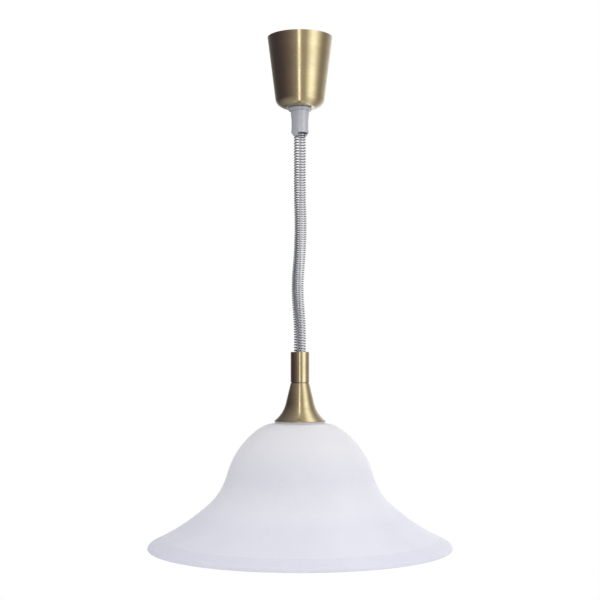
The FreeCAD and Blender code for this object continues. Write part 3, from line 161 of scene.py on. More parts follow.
@dataclass(frozen=True)
class Finish:
    """A surface: the plain numbers of its shader, and what varies over it.

    grain_mm is the real size of what shows on it, round_the_axis turns the grain into lathe
    lines, and shade_hex is the colour that it varies towards. painted_light_and_border_rings gives
    tints by the distance from the axis in millimetres: painted light and shade, and a border band.
    """

    name: str
    hex_colour: str
    shade_hex: str
    roughness: float
    metallic: float = 0.0
    ior: float = 1.5
    grain_mm: float = 1.0
    mottling: float = 0.3
    roughness_spread: float = 0.06
    bump: float = 0.02
    round_the_axis: bool = False
    coat: float = 0.0
    coat_roughness: float = 0.1
    subsurface: float = 0.0
    subsurface_mm: float = 4.0
    painted_light_and_border_rings: tuple[tuple[float, str], ...] = ()

    def pattern_place(self, tree: bpy.types.NodeTree) -> bpy.types.NodeSocket:
        """Give the coordinates of the grain: object space in metres, or unrolled lathe lines.

        Args:
            tree: The material's node tree.

        Returns:
            A vector socket.
        """
        place = add_node(tree, "ShaderNodeTexCoord").outputs["Object"]
        if not self.round_the_axis:
            return place
        parts = add_node(tree, "ShaderNodeSeparateXYZ", {0: place})
        x, y, z = parts.outputs
        angle = add_node(tree, "ShaderNodeMath", {0: y, 1: x}, operation="ARCTAN2")
        soft = add_node(tree, "ShaderNodeMath", {0: angle.outputs[0], 1: LATHE_STRETCH}, operation="MULTIPLY")
        return add_node(tree, "ShaderNodeCombineXYZ", {0: soft.outputs[0], 1: 0.0, 2: z}).outputs[0]

    def ringed(self, tree: bpy.types.NodeTree, plain: bpy.types.NodeSocket) -> bpy.types.NodeSocket:
        """Tint the colour by the distance from the axis: painted light and shade, and a border band.

        Args:
            tree: The material's node tree.
            plain: The colour before.

        Returns:
            The tinted colour.
        """
        place = add_node(tree, "ShaderNodeTexCoord").outputs["Object"]
        flat = add_node(tree, "ShaderNodeVectorMath", {0: place, 1: (1.0, 1.0, 0.0)}, operation="MULTIPLY")
        out = add_node(tree, "ShaderNodeVectorMath", {0: flat.outputs[0]}, operation="LENGTH").outputs[1]
        widest = self.painted_light_and_border_rings[-1][0]
        share = add_node(tree, "ShaderNodeMath", {0: out, 1: 1 / (widest * MM)}, operation="MULTIPLY")
        tints = add_node(tree, "ShaderNodeValToRGB", {0: share.outputs[0]})
        ramp(tints, [(radius / widest, linear(tint)) for radius, tint in self.painted_light_and_border_rings])
        mixed = {0: 1.0, 6: plain, 7: tints.outputs[0]}
        return add_node(tree, "ShaderNodeMix", mixed, data_type="RGBA", blend_type="MULTIPLY").outputs[2]

    def build(self) -> bpy.types.Material:
        """Make the material, or give the one already made.

        Returns:
            The material, named after the finish.
        """
        made = bpy.data.materials.get(self.name)
        if made:
            return made
        material = bpy.data.materials.new(self.name)
        material.use_nodes = True
        tree = material.node_tree
        tree.nodes.clear()
        place = self.pattern_place(tree)
        noise = add_node(
            tree,
            "ShaderNodeTexNoise",
            {"Vector": place, "Scale": 1 / (self.grain_mm * MM), "Detail": 4.0, "Roughness": 0.6},
        )
        broad = add_node(
            tree,
            "ShaderNodeTexNoise",
            {"Vector": place, "Scale": 1 / (self.grain_mm * CLOUD_GRAINS * MM), "Detail": 3.0},
        )
        both = add_node(
            tree, "ShaderNodeMix", {0: 0.5, 2: noise.outputs[0], 3: broad.outputs[0]}, data_type="FLOAT"
        ).outputs[0]
        spread = {0: both, 1: NOISE_LOW, 2: NOISE_HIGH}
        share = add_node(tree, "ShaderNodeMapRange", {**spread, 3: 0.0, 4: self.mottling})
        colour = add_node(
            tree,
            "ShaderNodeMix",
            {0: share.outputs[0], 6: linear(self.hex_colour), 7: linear(self.shade_hex)},
            data_type="RGBA",
        )
        tint = colour.outputs[2]
        if self.painted_light_and_border_rings:
            tint = self.ringed(tree, tint)
        smoothest = self.roughness - self.roughness_spread
        roughest = self.roughness + self.roughness_spread
        rough = add_node(tree, "ShaderNodeMapRange", {**spread, 3: smoothest, 4: roughest})
        bump = add_node(
            tree, "ShaderNodeBump", {"Height": noise.outputs[0], "Strength": 0.5, "Distance": self.bump * MM}
        )
        shader = add_node(
            tree,
            "ShaderNodeBsdfPrincipled",
            {
                "Base Color": tint,
                "Roughness": rough.outputs[0],
                "Normal": bump.outputs[0],
                "Metallic": self.metallic,
                "IOR": self.ior,
                "Coat Weight": self.coat,
                "Coat Roughness": self.coat_roughness,
                "Subsurface Weight": self.subsurface,
                "Subsurface Scale": self.subsurface_mm * MM,
                "Subsurface Radius": (1.0, 1.0, 1.0),
            },
        )
        add_node(tree, "ShaderNodeOutputMaterial", {"Surface": shader.outputs[0]})
        return material


class Finishes(Enum):
    """Every finish of the lamp, named for what it is."""

    # Brass sheet, spun, satin brushed round the axis and lacquered: warm, soft vertical bands. The
    # brush lines are finer than a pixel, so they are drawn 1.1 mm apart.
    SATIN_BRASS = Finish(
        "lacquered_satin_brass", "#C3B28F", "#A5926E", 0.17, metallic=1.0, grain_mm=1.1, mottling=0.8,
        roughness_spread=0.06, bump=0.012, coat=0.5, coat_roughness=0.16, round_the_axis=True,
    )
    # Bar brass left as turned: yellower and sharper than the lacquered sheet.
    TURNED_BRASS = Finish(
        "turned_brass", "#C9A650", "#A58338", 0.3, metallic=1.0, grain_mm=0.3, bump=0.004,
        round_the_axis=True,
    )
    # Zinc plated steel: cool, slightly cloudy passivation.
    ZINC_STEEL = Finish(
        "zinc_plated_steel", "#B6B8BA", "#9A9CA6", 0.36, metallic=1.0, grain_mm=2.0, bump=0.004
    )
    # Hardened spring strip, oil blued: dark with a cold tint. The zinc seam washer takes it too, as
    # painted shade that shows the recessed seam under the tube as a dark line.
    SPRING_STEEL_AND_SEAM_SHADE = Finish(
        "blued_steel_and_painted_seam_shade", "#5C6270", "#3D4048", 0.3, metallic=1.0, grain_mm=1.0, bump=0.003
    )
    # Stranded steel cord: bright wires.
    CORD_STEEL = Finish("stranded_steel", "#A8A9AB", "#808285", 0.34, metallic=1.0, grain_mm=0.4, bump=0.004)
    # ABS, injection moulded, cool grey with a soft gloss.
    GREY_ABS = Finish(
        "moulded_grey_abs", "#B3B4BC", "#A9AAB2", 0.34, ior=1.53, grain_mm=1.2, mottling=0.4, bump=0.006,
        coat=1.0, coat_roughness=0.2,
    )
    # The same ABS polished in the mould: the ring nut's small bright lights.
    POLISHED_ABS = Finish(
        "polished_grey_abs", "#B0B4BA", "#A2A7AE", 0.14, ior=1.53, grain_mm=1.2, bump=0.002, coat=0.4
    )
    # Acetal, injection moulded: milky white, slightly waxy.
    WHITE_ACETAL = Finish(
        "moulded_acetal", "#E6E5DF", "#D8D7CF", 0.42, ior=1.48, grain_mm=1.5, bump=0.004, subsurface=0.1,
        subsurface_mm=1.0,
    )
    # Phenolic lampholder plastic: black and faintly speckled.
    BLACK_PHENOLIC = Finish("black_phenolic", "#17171A", "#232326", 0.36, ior=1.6, grain_mm=0.8, bump=0.006)
    # Clear, glossy PVC sheath over a bright screen: a silvery wire with small sharp lights.
    SILVER_PVC = Finish(
        "silvery_pvc", "#B0B0B7", "#9E9EA6", 0.11, metallic=0.72, ior=1.52, grain_mm=0.7, bump=0.004,
        coat=0.8, coat_roughness=0.06,
    )
    # Core insulation, extruded PVC.
    BROWN_PVC = Finish("brown_core_pvc", "#4E2C17", "#3C2010", 0.4, ior=1.52, grain_mm=0.6, bump=0.002)
    # Glazed steatite: warm white with pinholes.
    STEATITE = Finish(
        "glazed_steatite", "#E4E0D4", "#D2CDBE", 0.22, ior=1.55, grain_mm=1.0, bump=0.008, coat=0.4
    )
    # Vulcanised fibre: dry brown board.
    FIBRE = Finish("vulcanised_fibre", "#6B3B2A", "#55301F", 0.65, grain_mm=0.6, mottling=0.6, bump=0.01)
    # Clear silicone between brass and glass.
    SILICONE = Finish(
        "clear_silicone", "#C9C9C4", "#BDBDB8", 0.45, ior=1.41, grain_mm=1.0, bump=0.003, subsurface=0.2,
        subsurface_mm=1.0,
    )
    # Opal glass, blown in a mould and matt etched: cool white that glows softly, faintly clouded. It is
    # tinted by the distance from the axis: whiter towards the crown, which is painted light that evens out
    # the shade on the crown and waist and leaves the flare a little greyer, and a step darker in the
    # border band. The etching is too fine to show, so its grain is drawn 3 mm wide.
    OPAL_GLASS = Finish(
        "etched_opal_glass", "#EEECFF", "#E4E2F8", 0.4, ior=1.5, grain_mm=3.0, mottling=0.8,
        roughness_spread=0.04, bump=0.01, subsurface=1.0, subsurface_mm=30.0,
        # Whiter crown and greyer flare: painted light and shade. Last step: the border band.
        painted_light_and_border_rings=((78, "#FFFFFF"), (140, "#DCDEE4"), (181.9, "#DADCE0"), (182.5, "#D2D5DB"), (201, "#D2D5DB")),
    )

    @property
    def material(self) -> bpy.types.Material:
        """The finish as a Blender material."""
        return self.value.build()


# ---------------------------------------------------------------- outlines and lathe work
@dataclass(frozen=True)
class Bend:
    """One arc of an outline: its radius, and how far it turns down (or up, if negative)."""

    radius: float
    degrees: float


@dataclass(frozen=True)
class Run:
    """One straight stretch of an outline."""

    length: float


def follow(
    start: tuple[float, float],
    heading: float,
    steps: Iterable[Bend | Run],
    inset: float = 0.0,
    fine: float = 2.0,
) -> Outline:
    """Walk tangent runs and bends in the plane of radius and height.

    Args:
        start: Radius and height of the first point.
        heading: Degrees below the outward direction at the start.
        steps: What the outline does, in order.
        inset: Offset of the outline to the side below it, in metres.
        fine: Degrees of a bend between two points.

    Returns:
        The points of the outline, the start included.
    """
    h = math.radians(heading)
    r, z = start[0] - math.sin(h) * inset, start[1] - math.cos(h) * inset
    points = [(r, z)]
    for step in steps:
        if isinstance(step, Run):
            r, z = r + math.cos(h) * step.length, z - math.sin(h) * step.length
            points.append((r, z))
            continue
        side = math.copysign(1.0, step.degrees)
        radius = step.radius - side * inset
        centre = (r - math.sin(h) * side * radius, z - math.cos(h) * side * radius)
        count = max(3, math.ceil(abs(step.degrees) / fine))
        turn = math.radians(step.degrees)
        for k in range(1, count + 1):
            a = h + turn * k / count
            points.append((centre[0] + math.sin(a) * side * radius, centre[1] + math.cos(a) * side * radius))
        h += turn
        r, z = points[-1]
    return points


def rounded(start: tuple[float, float], end: tuple[float, float], bulge: float, count: int = 8) -> Outline:
    """Points of a round edge between two ends, the ends left out.

    Args:
        start: Where the edge begins.
        end: Where it ends.
        bulge: How far it swells past the middle of the straight line, to the right of it.
        count: How many points it gets.

    Returns:
        The points between the ends.
    """
    mid = ((start[0] + end[0]) / 2, (start[1] + end[1]) / 2)
    half = (mid[0] - start[0], mid[1] - start[1])
    length = math.hypot(*half)
    out = (half[1] / length * bulge, -half[0] / length * bulge)
    points = []
    for k in range(1, count + 1):
        a = math.pi * k / (count + 1)
        c, s = -math.cos(a), math.sin(a)
        points.append((mid[0] + half[0] * c + out[0] * s, mid[1] + half[1] * c + out[1] * s))
    return points


def lathe(name: str, loop: Outline, segments: int = 160, sharp: float = 35.0) -> bpy.types.Object:
    """Turn a closed outline round the axis of the lamp.

    Args:
        name: Name of the new object.
        loop: Radius and height of each point of the closed outline.
        segments: Steps round the axis.
        sharp: Angle in degrees from which an edge stays crisp.

    Returns:
        The mesh object, its faces outwards.
    """
    count = len(loop)
    area = sum(r0 * z1 - r1 * z0 for (r0, z0), (r1, z1) in zip(loop, loop[1:] + loop[:1]))
    if area > 0:
        loop = loop[::-1]
    vertices, faces = [], []
    for k in range(segments):
        a = 2 * math.pi * k / segments
        vertices += [(r * math.cos(a), r * math.sin(a), z) for r, z in loop]
    for k in range(segments):
        here, there = k * count, (k + 1) % segments * count
        for i in range(count):
            j = (i + 1) % count
            faces.append((here + i, here + j, there + j, there + i))
    return mesh_object(name, vertices, faces, sharp)


def mesh_object(
    name: str, vertices: Sequence[Point], faces: Sequence[Sequence[int]], sharp: float
) -> bpy.types.Object:
    """Make a smooth mesh object with crisp edges where it turns sharply.

    Args:
        name: Name of the object.
        vertices: Corners, in metres.
        faces: Corner numbers of each face.
        sharp: Angle in degrees from which an edge stays crisp.

    Returns:
        The object, linked to the scene.
    """
    mesh = bpy.data.meshes.new(name)
    mesh.from_pydata(vertices, [], faces)
    mesh.validate()
    mesh.shade_smooth()
    mesh.set_sharp_from_angle(angle=math.radians(sharp))
    made = bpy.data.objects.new(name, mesh)
    bpy.context.scene.collection.objects.link(made)
    return made


def hand_over(piece: bpy.types.Object, body: Body, finish: Finishes, slot: str, *nodes: str) -> None:
    """Finish a piece and fix it to what carries it.

    Args:
        piece: The mesh object.
        body: Body that it rides on.
        finish: Its surface.
        slot: Name of the record's material slot; not used.
        *nodes: Nodes of the frame that it stands for.
    """
    piece.data.materials.clear()
    piece.data.materials.append(finish.material)
    if nodes:
        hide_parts(*nodes)
    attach(piece, body.value)
    LOG.info("%s rides on %s", piece.name, body.value)


# ---------------------------------------------------------------- paths and wires
def read_route(name: str, points: Sequence[Point]) -> np.ndarray:
    """Lay a smooth spline through a route's points and read its line.

    Args:
        name: Name for the curve while it exists.
        points: Control points in metres.

    Returns:
        The points of the line, one row each.
    """
    curve = bpy.data.curves.new(name, "CURVE")
    curve.dimensions = "3D"
    spline = curve.splines.new("NURBS")
    spline.points.add(len(points) - 1)
    for control, point in zip(spline.points, points):
        control.co = (*point, 1.0)
    spline.order_u = 3
    spline.use_endpoint_u = True
    spline.resolution_u = 24
    holder = bpy.data.objects.new(name, curve)
    bpy.context.scene.collection.objects.link(holder)
    bpy.context.view_layer.update()
    mesh = bpy.data.meshes.new_from_object(holder)
    line = np.array([v.co[:] for v in mesh.vertices])
    bpy.data.objects.remove(holder)
    bpy.data.curves.remove(curve)
    bpy.data.meshes.remove(mesh)
    return line


def wire_tree() -> bpy.types.NodeTree:
    """The Geometry Nodes that draw a round wire along a line, made once.

    Returns:
        A node group with the inputs Radius, Sides and Material.
    """
    made = bpy.data.node_groups.get("draw_wire")
    if made:
        return made
    tree = bpy.data.node_groups.new("draw_wire", "GeometryNodeTree")
    face = tree.interface
    face.new_socket("Line", in_out="INPUT", socket_type="NodeSocketGeometry")
    face.new_socket("Radius", in_out="INPUT", socket_type="NodeSocketFloat")
    face.new_socket("Sides", in_out="INPUT", socket_type="NodeSocketInt")
    face.new_socket("Material", in_out="INPUT", socket_type="NodeSocketMaterial")
    face.new_socket("Wire", in_out="OUTPUT", socket_type="NodeSocketGeometry")
    given = add_node(tree, "NodeGroupInput").outputs
    line = add_node(tree, "GeometryNodeMeshToCurve", {"Mesh": given["Line"]})
    section = add_node(
        tree, "GeometryNodeCurvePrimitiveCircle", {"Resolution": given["Sides"], "Radius": given["Radius"]}
    )
    wire = add_node(
        tree,
        "GeometryNodeCurveToMesh",
        {"Curve": line.outputs[0], "Profile Curve": section.outputs[0], "Fill Caps": True},
    )
    real = add_node(tree, "GeometryNodeRealizeInstances", {0: wire.outputs[0]})
    dressed = add_node(
        tree, "GeometryNodeSetMaterial", {"Geometry": real.outputs[0], "Material": given["Material"]}
    )
    add_node(tree, "NodeGroupOutput", {"Wire": dressed.outputs[0]})
    return tree


def bake(
    holder: bpy.types.Object, tree: bpy.types.NodeTree, values: dict[str, object], sharp: float = 50.0
) -> None:
    """Run a Geometry Nodes tree on an object and keep the plain mesh.

    Args:
        holder: Object whose mesh goes in and is replaced.
        tree: The node group.
        values: Value for each named input.
        sharp: Angle in degrees from which an edge stays crisp.
    """
    modifier = holder.modifiers.new("make", "NODES")
    modifier.node_group = tree
    for item in tree.interface.items_tree:
        if item.item_type == "SOCKET" and item.in_out == "INPUT" and item.name in values:
            modifier[item.identifier] = values[item.name]
    bpy.context.view_layer.update()
    graph = bpy.context.evaluated_depsgraph_get()
    mesh = bpy.data.meshes.new_from_object(holder.evaluated_get(graph))
    holder.modifiers.clear()
    old, holder.data = holder.data, mesh
    mesh.name = holder.name
    bpy.data.meshes.remove(old)
    mesh.shade_smooth()
    mesh.set_sharp_from_angle(angle=math.radians(sharp))


def wire(
    name: str,
    lines: Sequence[np.ndarray],
    radius: float,
    sides: int,
    finish: Finishes,
    shares: Sequence[np.ndarray] | None = None,
) -> bpy.types.Object:
    """Draw round wires along lines as one mesh.

    Args:
        name: Name of the object.
        lines: Points of each line.
        radius: Radius of the wire in metres.
        sides: Corners of its section.
        finish: Its surface.
        shares: For each line, a number at each point that is kept as the attribute "share".

    Returns:
        The finished mesh object.
    """
    mesh = bpy.data.meshes.new(name)
    vertices = [tuple(p) for line in lines for p in line]
    edges, begin = [], 0
    for line in lines:
        edges += [(begin + k, begin + k + 1) for k in range(len(line) - 1)]
        begin += len(line)
    mesh.from_pydata(vertices, edges, [])
    if shares is not None:
        kept = mesh.attributes.new("share", "FLOAT", "POINT")
        kept.data.foreach_set("value", np.concatenate(shares).astype(np.float32))
    holder = bpy.data.objects.new(name, mesh)
    bpy.context.scene.collection.objects.link(holder)
    bake(holder, wire_tree(), {"Radius": radius, "Sides": sides, "Material": finish.material})
    return holder


def stretch(piece: bpy.types.Object) -> None:
    """Let a piece stretch evenly between the reel and the lamp head, by its attribute "share".

    Args:
        piece: Mesh whose points carry the share of the travel that each one makes.
    """
    mesh = piece.data
    shares = np.zeros(len(mesh.vertices), np.float32)
    mesh.attributes["share"].data.foreach_get("value", shares)
    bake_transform(piece, Body.REEL_UNIT.value, Body.LAMP_HEAD.value, start=(0, 0, 0), end=(0, 0, -1))
    mesh.attributes["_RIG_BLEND"].data.foreach_set("value", np.clip(shares, 0, 1))
    mesh.attributes.remove(mesh.attributes["share"])


# ---------------------------------------------------------------- the sub-assemblies
@dataclass
class CoiledFlex:
    """The coiled flex, which hangs round the steel cord with a slight sway.

    A few turns more lie out of the coil's open length, up inside the nozzle and down in the tube.
    The wire is drawn thinner than the solid's at the same outer size, so that the gaps between its
    turns show dark.
    """

    top: float = -0.11628
    low: float = -0.40312
    coil_radius: float = 7.41 * MM
    wire_radius: float = 0.97 * MM
    turns_above: int = 2
    turns_below: int = 1
    tucked_pitch: float = 2.95 * MM
    bend_radius: float = 2.9 * MM
    tail: float = 2.6 * MM
    curls: int = 89
    top_tail_degrees: float = -80.0
    low_tail_degrees: float = 100.0
    pitch_rise_top: float = 0.32
    pitch_rise_low: float = 0.22
    closest_at: float = 0.40
    # Where the coil hangs out of line: middle and half length as shares of the turns, and how far.
    sways: tuple[tuple[float, float, float], ...] = ((0.61, 0.16, 0.9 * MM), (0.29, 0.22, -3.1 * MM))
    route_steps: int = 36
    points_per_turn: int = 26
    bend_steps: int = 8
    tail_steps: int = 4
    sides: int = 12

    def axis(self) -> np.ndarray:
        """Lay the line of the coil's middle, swayed as it hangs.

        Returns:
            Its points from the lowest turn to the highest, one row each.
        """
        points = []
        for k in range(self.route_steps + 1):
            share = k / self.route_steps
            x = sum(
                size * math.cos(math.pi / 2 * abs(share - middle) / reach) ** 2
                for middle, reach, size in self.sways
                if abs(share - middle) < reach
            )
            points.append((x, 0.0, self.low + (self.top - self.low) * self.done(share)))
        return read_route("flex_route", points)

    def done(self, share: float) -> float:
        """How much of the coil's height lies below a share of its turns.

        Args:
            share: Share of the turns, from below.

        Returns:
            The share of the height.
        """
        t0, low, high = self.closest_at, self.pitch_rise_low, self.pitch_rise_top
        mean = 1 + t0 * low / 3 + (1 - t0) * high / 3
        if share < t0:
            return (share + low * t0 / 3 * (1 - ((t0 - share) / t0) ** 3)) / mean
        return (share + low * t0 / 3 + high * (1 - t0) / 3 * ((share - t0) / (1 - t0)) ** 3) / mean

    def tail_points(self, degrees: float, end: float, up: float) -> list[Point]:
        """Points of a tail: the quarter bend out of the last turn and the straight end.

        Args:
            degrees: Where the tail stands round the axis.
            end: Height of the last turn.
            up: One for the upper tail, minus one for the lower.

        Returns:
            Points from the coil outwards.
        """
        lead = math.degrees(math.atan2(self.bend_radius, self.coil_radius))
        a = math.radians(degrees - up * lead)
        base = np.array([self.coil_radius * math.cos(a), self.coil_radius * math.sin(a)])
        along = np.array([-math.sin(a), math.cos(a)]) * up
        points = []
        for k in range(1, self.bend_steps + 1):
            b = math.pi / 2 * k / self.bend_steps
            x, y = base + along * self.bend_radius * math.sin(b)
            points.append((x, y, end + up * self.bend_radius * (1 - math.cos(b))))
        x, y, z = points[-1]
        points += [(x, y, z + up * self.tail * k / self.tail_steps) for k in range(1, self.tail_steps + 1)]
        return points

    def line(self) -> tuple[np.ndarray, np.ndarray]:
        """Work out the middle of the wire, turn by turn.

        Returns:
            Its points from the upper join to the lower, and each one's share of the travel.
        """
        lead = math.degrees(math.atan2(self.bend_radius, self.coil_radius))
        turns = self.curls + (self.top_tail_degrees - self.low_tail_degrees - 2 * lead) / 360
        axis = self.axis()
        helix = []
        first = -self.turns_below * self.points_per_turn
        last = int((turns + self.turns_above) * self.points_per_turn)
        for k in range(first, last + 1):
            turn = k / self.points_per_turn
            inside = min(max(turn / turns, 0.0), 1.0)
            tucked = (turn - inside * turns) * self.tucked_pitch
            z = self.low + (self.top - self.low) * self.done(inside) + tucked
            x = float(np.interp(z, axis[:, 2], axis[:, 0]))
            a = math.radians(self.low_tail_degrees + lead + 360 * turn)
            helix.append((x + self.coil_radius * math.cos(a), self.coil_radius * math.sin(a), z))
        below = self.tail_points(self.low_tail_degrees, helix[0][2], -1.0)[::-1]
        above = self.tail_points(self.top_tail_degrees, helix[-1][2], 1.0)
        line = np.array(below + helix + above)[::-1]
        share = (self.top - line[:, 2]) / (self.top - self.low)
        return line, np.clip(share, 0, 1)

    def build(self) -> None:
        """Draw the flex and let it stretch with the travel."""
        line, share = self.line()
        piece = wire("coiled_flex", [line], self.wire_radius, self.sides, Finishes.SILVER_PVC, [share])
        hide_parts("curly_flex")
        stretch(piece)


@dataclass
class SteelCord:
    """The stranded cord that carries the lamp: seven wires laid together."""

    top: float = -0.0352
    low: float = -0.4146
    radius: float = 0.6 * MM
    strands: int = 6
    lay_length: float = 9.0 * MM
    drum_centre: Point = (-0.0136, 0.0, -0.034)
    core_radius: float = 13.6 * MM
    pitch: float = 1.63 * MM
    wound_turns: float = 9.75
    anchor_bend: float = 2.0 * MM
    anchor_reach: float = 4.5 * MM
    far_flange: float = -0.01665
    hanging_points: int = 420
    strand_sides: int = 5
    points_per_turn: int = 40
    bend_steps: int = 6
    wound_sides: int = 10

    def hanging(self) -> None:
        """Draw the straight part and let it lengthen with the travel."""
        z = np.linspace(self.top, self.low, self.hanging_points)
        share = (self.top - z) / (self.top - self.low)
        strand = self.radius / 3
        middle = np.stack([0 * z, 0 * z, z], axis=1)
        lines = [middle]
        for k in range(self.strands):
            a = 2 * math.pi * ((z - self.top) / self.lay_length + k / self.strands)
            lines.append(np.stack([2 * strand * np.cos(a), 2 * strand * np.sin(a), z], axis=1))
        shares = [share] * len(lines)
        piece = wire("hanging_cord", lines, strand, self.strand_sides, Finishes.CORD_STEEL, shares)
        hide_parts("suspension_cord")
        stretch(piece)
        LOG.info("hanging_cord: %.3f m of cord", self.top - self.low)

    def wound(self) -> None:
        """Draw the turns on the drum, which turn with it."""
        cx, _, cz = self.drum_centre
        points = [(cx + self.core_radius, 0.0, cz - 2 * self.radius)]
        count = int(self.wound_turns * self.points_per_turn)
        for k in range(count + 1):
            a = 2 * math.pi * self.wound_turns * k / count
            y = -self.pitch * self.wound_turns * k / count
            points.append((cx + self.core_radius * math.cos(a), y, cz + self.core_radius * math.sin(a)))
        a = 2 * math.pi * self.wound_turns
        along, inward = (-math.sin(a), math.cos(a)), (-math.cos(a), -math.sin(a))
        x, y, z = points[-1]
        for k in range(1, self.bend_steps + 1):
            b = math.pi / 2 * k / self.bend_steps
            s, c = self.anchor_bend * math.sin(b), self.anchor_bend * (1 - math.cos(b))
            points.append((x + along[0] * s + inward[0] * c, y, z + along[1] * s + inward[1] * c))
        x, y, z = points[-1]
        points.append((x + inward[0] * self.anchor_reach, y, z + inward[1] * self.anchor_reach))
        piece = wire("wound_cord", [np.array(points)], self.radius, self.wound_sides, Finishes.CORD_STEEL)
        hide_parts("cord_winding")
        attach(piece, Body.DRUM.value)
        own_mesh(piece)
        LOG.info("wound_cord: %.2f turns on %s", self.wound_turns, Body.DRUM.value)

    def build(self) -> None:
        """Make both parts of the cord."""
        self.hanging()
        self.wound()


@dataclass
class CeilingCup:
    """Spun brass cup with the plastic ring nut under it."""

    rise: float = 20.0 * MM
    height: float = 96.0 * MM
    top_radius: float = 43.8 * MM
    bottom_radius: float = 31.7 * MM
    corner: float = 13.0 * MM
    wall: float = 1.0 * MM
    hole: float = 14.05 * MM
    ring_radius: float = 15.85 * MM
    ring_height: float = 4.3 * MM
    ring_bore: float = 12.6 * MM
    ring_round: float = 1.0 * MM
    ring_floor: float = 0.8 * MM
    around: int = 224
    ring_around: int = 128

    def shell(self) -> bpy.types.Object:
        """Make the cup itself, its top edge trimmed flat and slightly rounded.

        Returns:
            The mesh object.
        """
        slope = math.atan((self.top_radius - self.bottom_radius) / self.height)
        turn = math.pi / 2 - slope
        reach = self.corner * math.tan(turn / 2)
        low = self.rise - self.height
        start = (self.hole, low)
        flat = Run(self.bottom_radius - reach - self.hole)
        bend = Bend(self.corner, -math.degrees(turn))
        outer = follow(start, 0.0, [flat, bend])
        inner = follow(start, 0.0, [flat, bend], inset=-self.wall)
        lip = self.wall / 2
        top = (self.top_radius - lip * math.tan(slope), self.rise - lip)
        inner_top = (top[0] - self.wall / math.cos(slope), self.rise - lip)
        edge = rounded(top, inner_top, -lip)
        return lathe("ceiling_cup_skin", outer + [top] + edge + [inner_top] + inner[::-1], self.around, 60.0)

    def ring(self) -> bpy.types.Object:
        """Make the polished ring nut.

        Returns:
            The mesh object.
        """
        low = self.rise - self.height - self.ring_height
        high = self.rise - self.height
        r, c = self.ring_radius, self.ring_round
        loop: Outline = [(self.ring_bore, low)]
        for z0, a0 in ((low + c, -90.0), (high - c, 0.0)):
            for k in range(QUARTER_STEPS + 1):
                a = math.radians(a0 + 90 / QUARTER_STEPS * k)
                loop.append((r - c + c * math.cos(a), z0 + c * math.sin(a)))
        ledge = low + self.ring_floor
        loop += [(self.hole, high), (self.hole, ledge), (self.ring_bore, ledge)]
        return lathe("ring_nut", loop, self.ring_around, 40.0)

    def build(self) -> None:
        """Make the cup and its ring."""
        hand_over(self.shell(), Body.CANOPY, Finishes.SATIN_BRASS, "brass_satin", "ceiling_cup")
        hand_over(self.ring(), Body.CANOPY, Finishes.POLISHED_ABS, "plastic_grey", "cup_ring")


@dataclass
class BrassStem:
    """The tube and trumpet between the flex and the glass."""

    tube_top: float = -0.4047
    tube_length: float = 40.5 * MM
    tube_radius: float = 12.5 * MM
    tube_wall: float = 1.0 * MM
    lip_radius: float = 9.6 * MM
    lip_height: float = 1.2 * MM
    tube_chamfer: float = 0.15 * MM
    tube_around: int = 128
    cone_top: float = -0.446
    cone_radius: float = 12.4 * MM
    half_angle: float = 13.7
    straight: float = 27.2 * MM
    flare: float = 40.0 * MM
    flare_end: float = 52.5
    wall: float = 1.0 * MM
    bead: float = 0.8 * MM
    bead_sink: float = 0.2
    bead_from: float = 105.0
    bead_turn: float = 280.0
    bead_steps: int = 16
    cap: float = 1.2 * MM
    cap_edge: float = 0.2 * MM
    cap_spread: float = 0.02 * MM
    hole: float = 5.05 * MM
    trumpet_fine: float = 1.5
    trumpet_around: int = 160

    def tube(self) -> bpy.types.Object:
        """Make the brass tube with its turned-in, rounded top.

        Returns:
            The mesh object.
        """
        r, low = self.tube_radius, self.tube_top - self.tube_length
        c = self.lip_height * 0.5
        chamfer = self.tube_chamfer
        loop: Outline = [(r - self.tube_wall, low), (r - chamfer, low), (r, low + chamfer)]
        for k in range(QUARTER_STEPS + 1):
            a = math.radians(90 / QUARTER_STEPS * k)
            loop.append((r - c + c * math.cos(a), self.tube_top - c + c * math.sin(a)))
        under = self.tube_top - self.lip_height
        loop += [(self.lip_radius, self.tube_top), (self.lip_radius, under), (r - self.tube_wall, under)]
        return lathe("tube_skin", loop, self.tube_around, 40.0)

    def trumpet(self) -> bpy.types.Object:
        """Make the spun trumpet with its rolled lower edge.

        Returns:
            The mesh object.
        """
        run = self.straight / math.cos(math.radians(self.half_angle))
        steps: list[Bend | Run] = [Run(run), Bend(self.flare, self.half_angle - self.flare_end)]
        start = (self.cone_radius, self.cone_top)
        outer = follow(start, 90 - self.half_angle, steps, fine=self.trumpet_fine)
        inner = follow(start, 90 - self.half_angle, steps, inset=self.wall, fine=self.trumpet_fine)
        low_z = outer[-1][1] - self.wall * 0.5 - self.bead * self.bead_sink
        centre = (outer[-1][0], low_z)
        bead: Outline = []
        for k in range(self.bead_steps + 1):
            a = math.radians(self.bead_from - self.bead_turn / self.bead_steps * k)
            bead.append((centre[0] + self.bead * math.cos(a), centre[1] + self.bead * math.sin(a)))
        under = self.cone_top - self.cap
        inner_low = [p for p in inner if p[1] < under - self.cap_edge]
        loop = [(self.hole, self.cone_top), (self.cone_radius - self.cap_edge, self.cone_top)]
        loop += [(self.cone_radius + self.cap_spread, self.cone_top - self.cap_edge)] + outer[1:-1] + bead
        loop += inner_low[:-1][::-1] + [(inner[0][0], under), (self.hole, under)]
        return lathe("trumpet_skin", loop, self.trumpet_around, 50.0)

    def build(self) -> None:
        """Make the tube and the trumpet."""
        hand_over(self.tube(), Body.LAMP_HEAD, Finishes.SATIN_BRASS, "brass_satin", "brass_tube")
        hand_over(self.trumpet(), Body.LAMP_HEAD, Finishes.SATIN_BRASS, "brass_satin", "trumpet_cone")


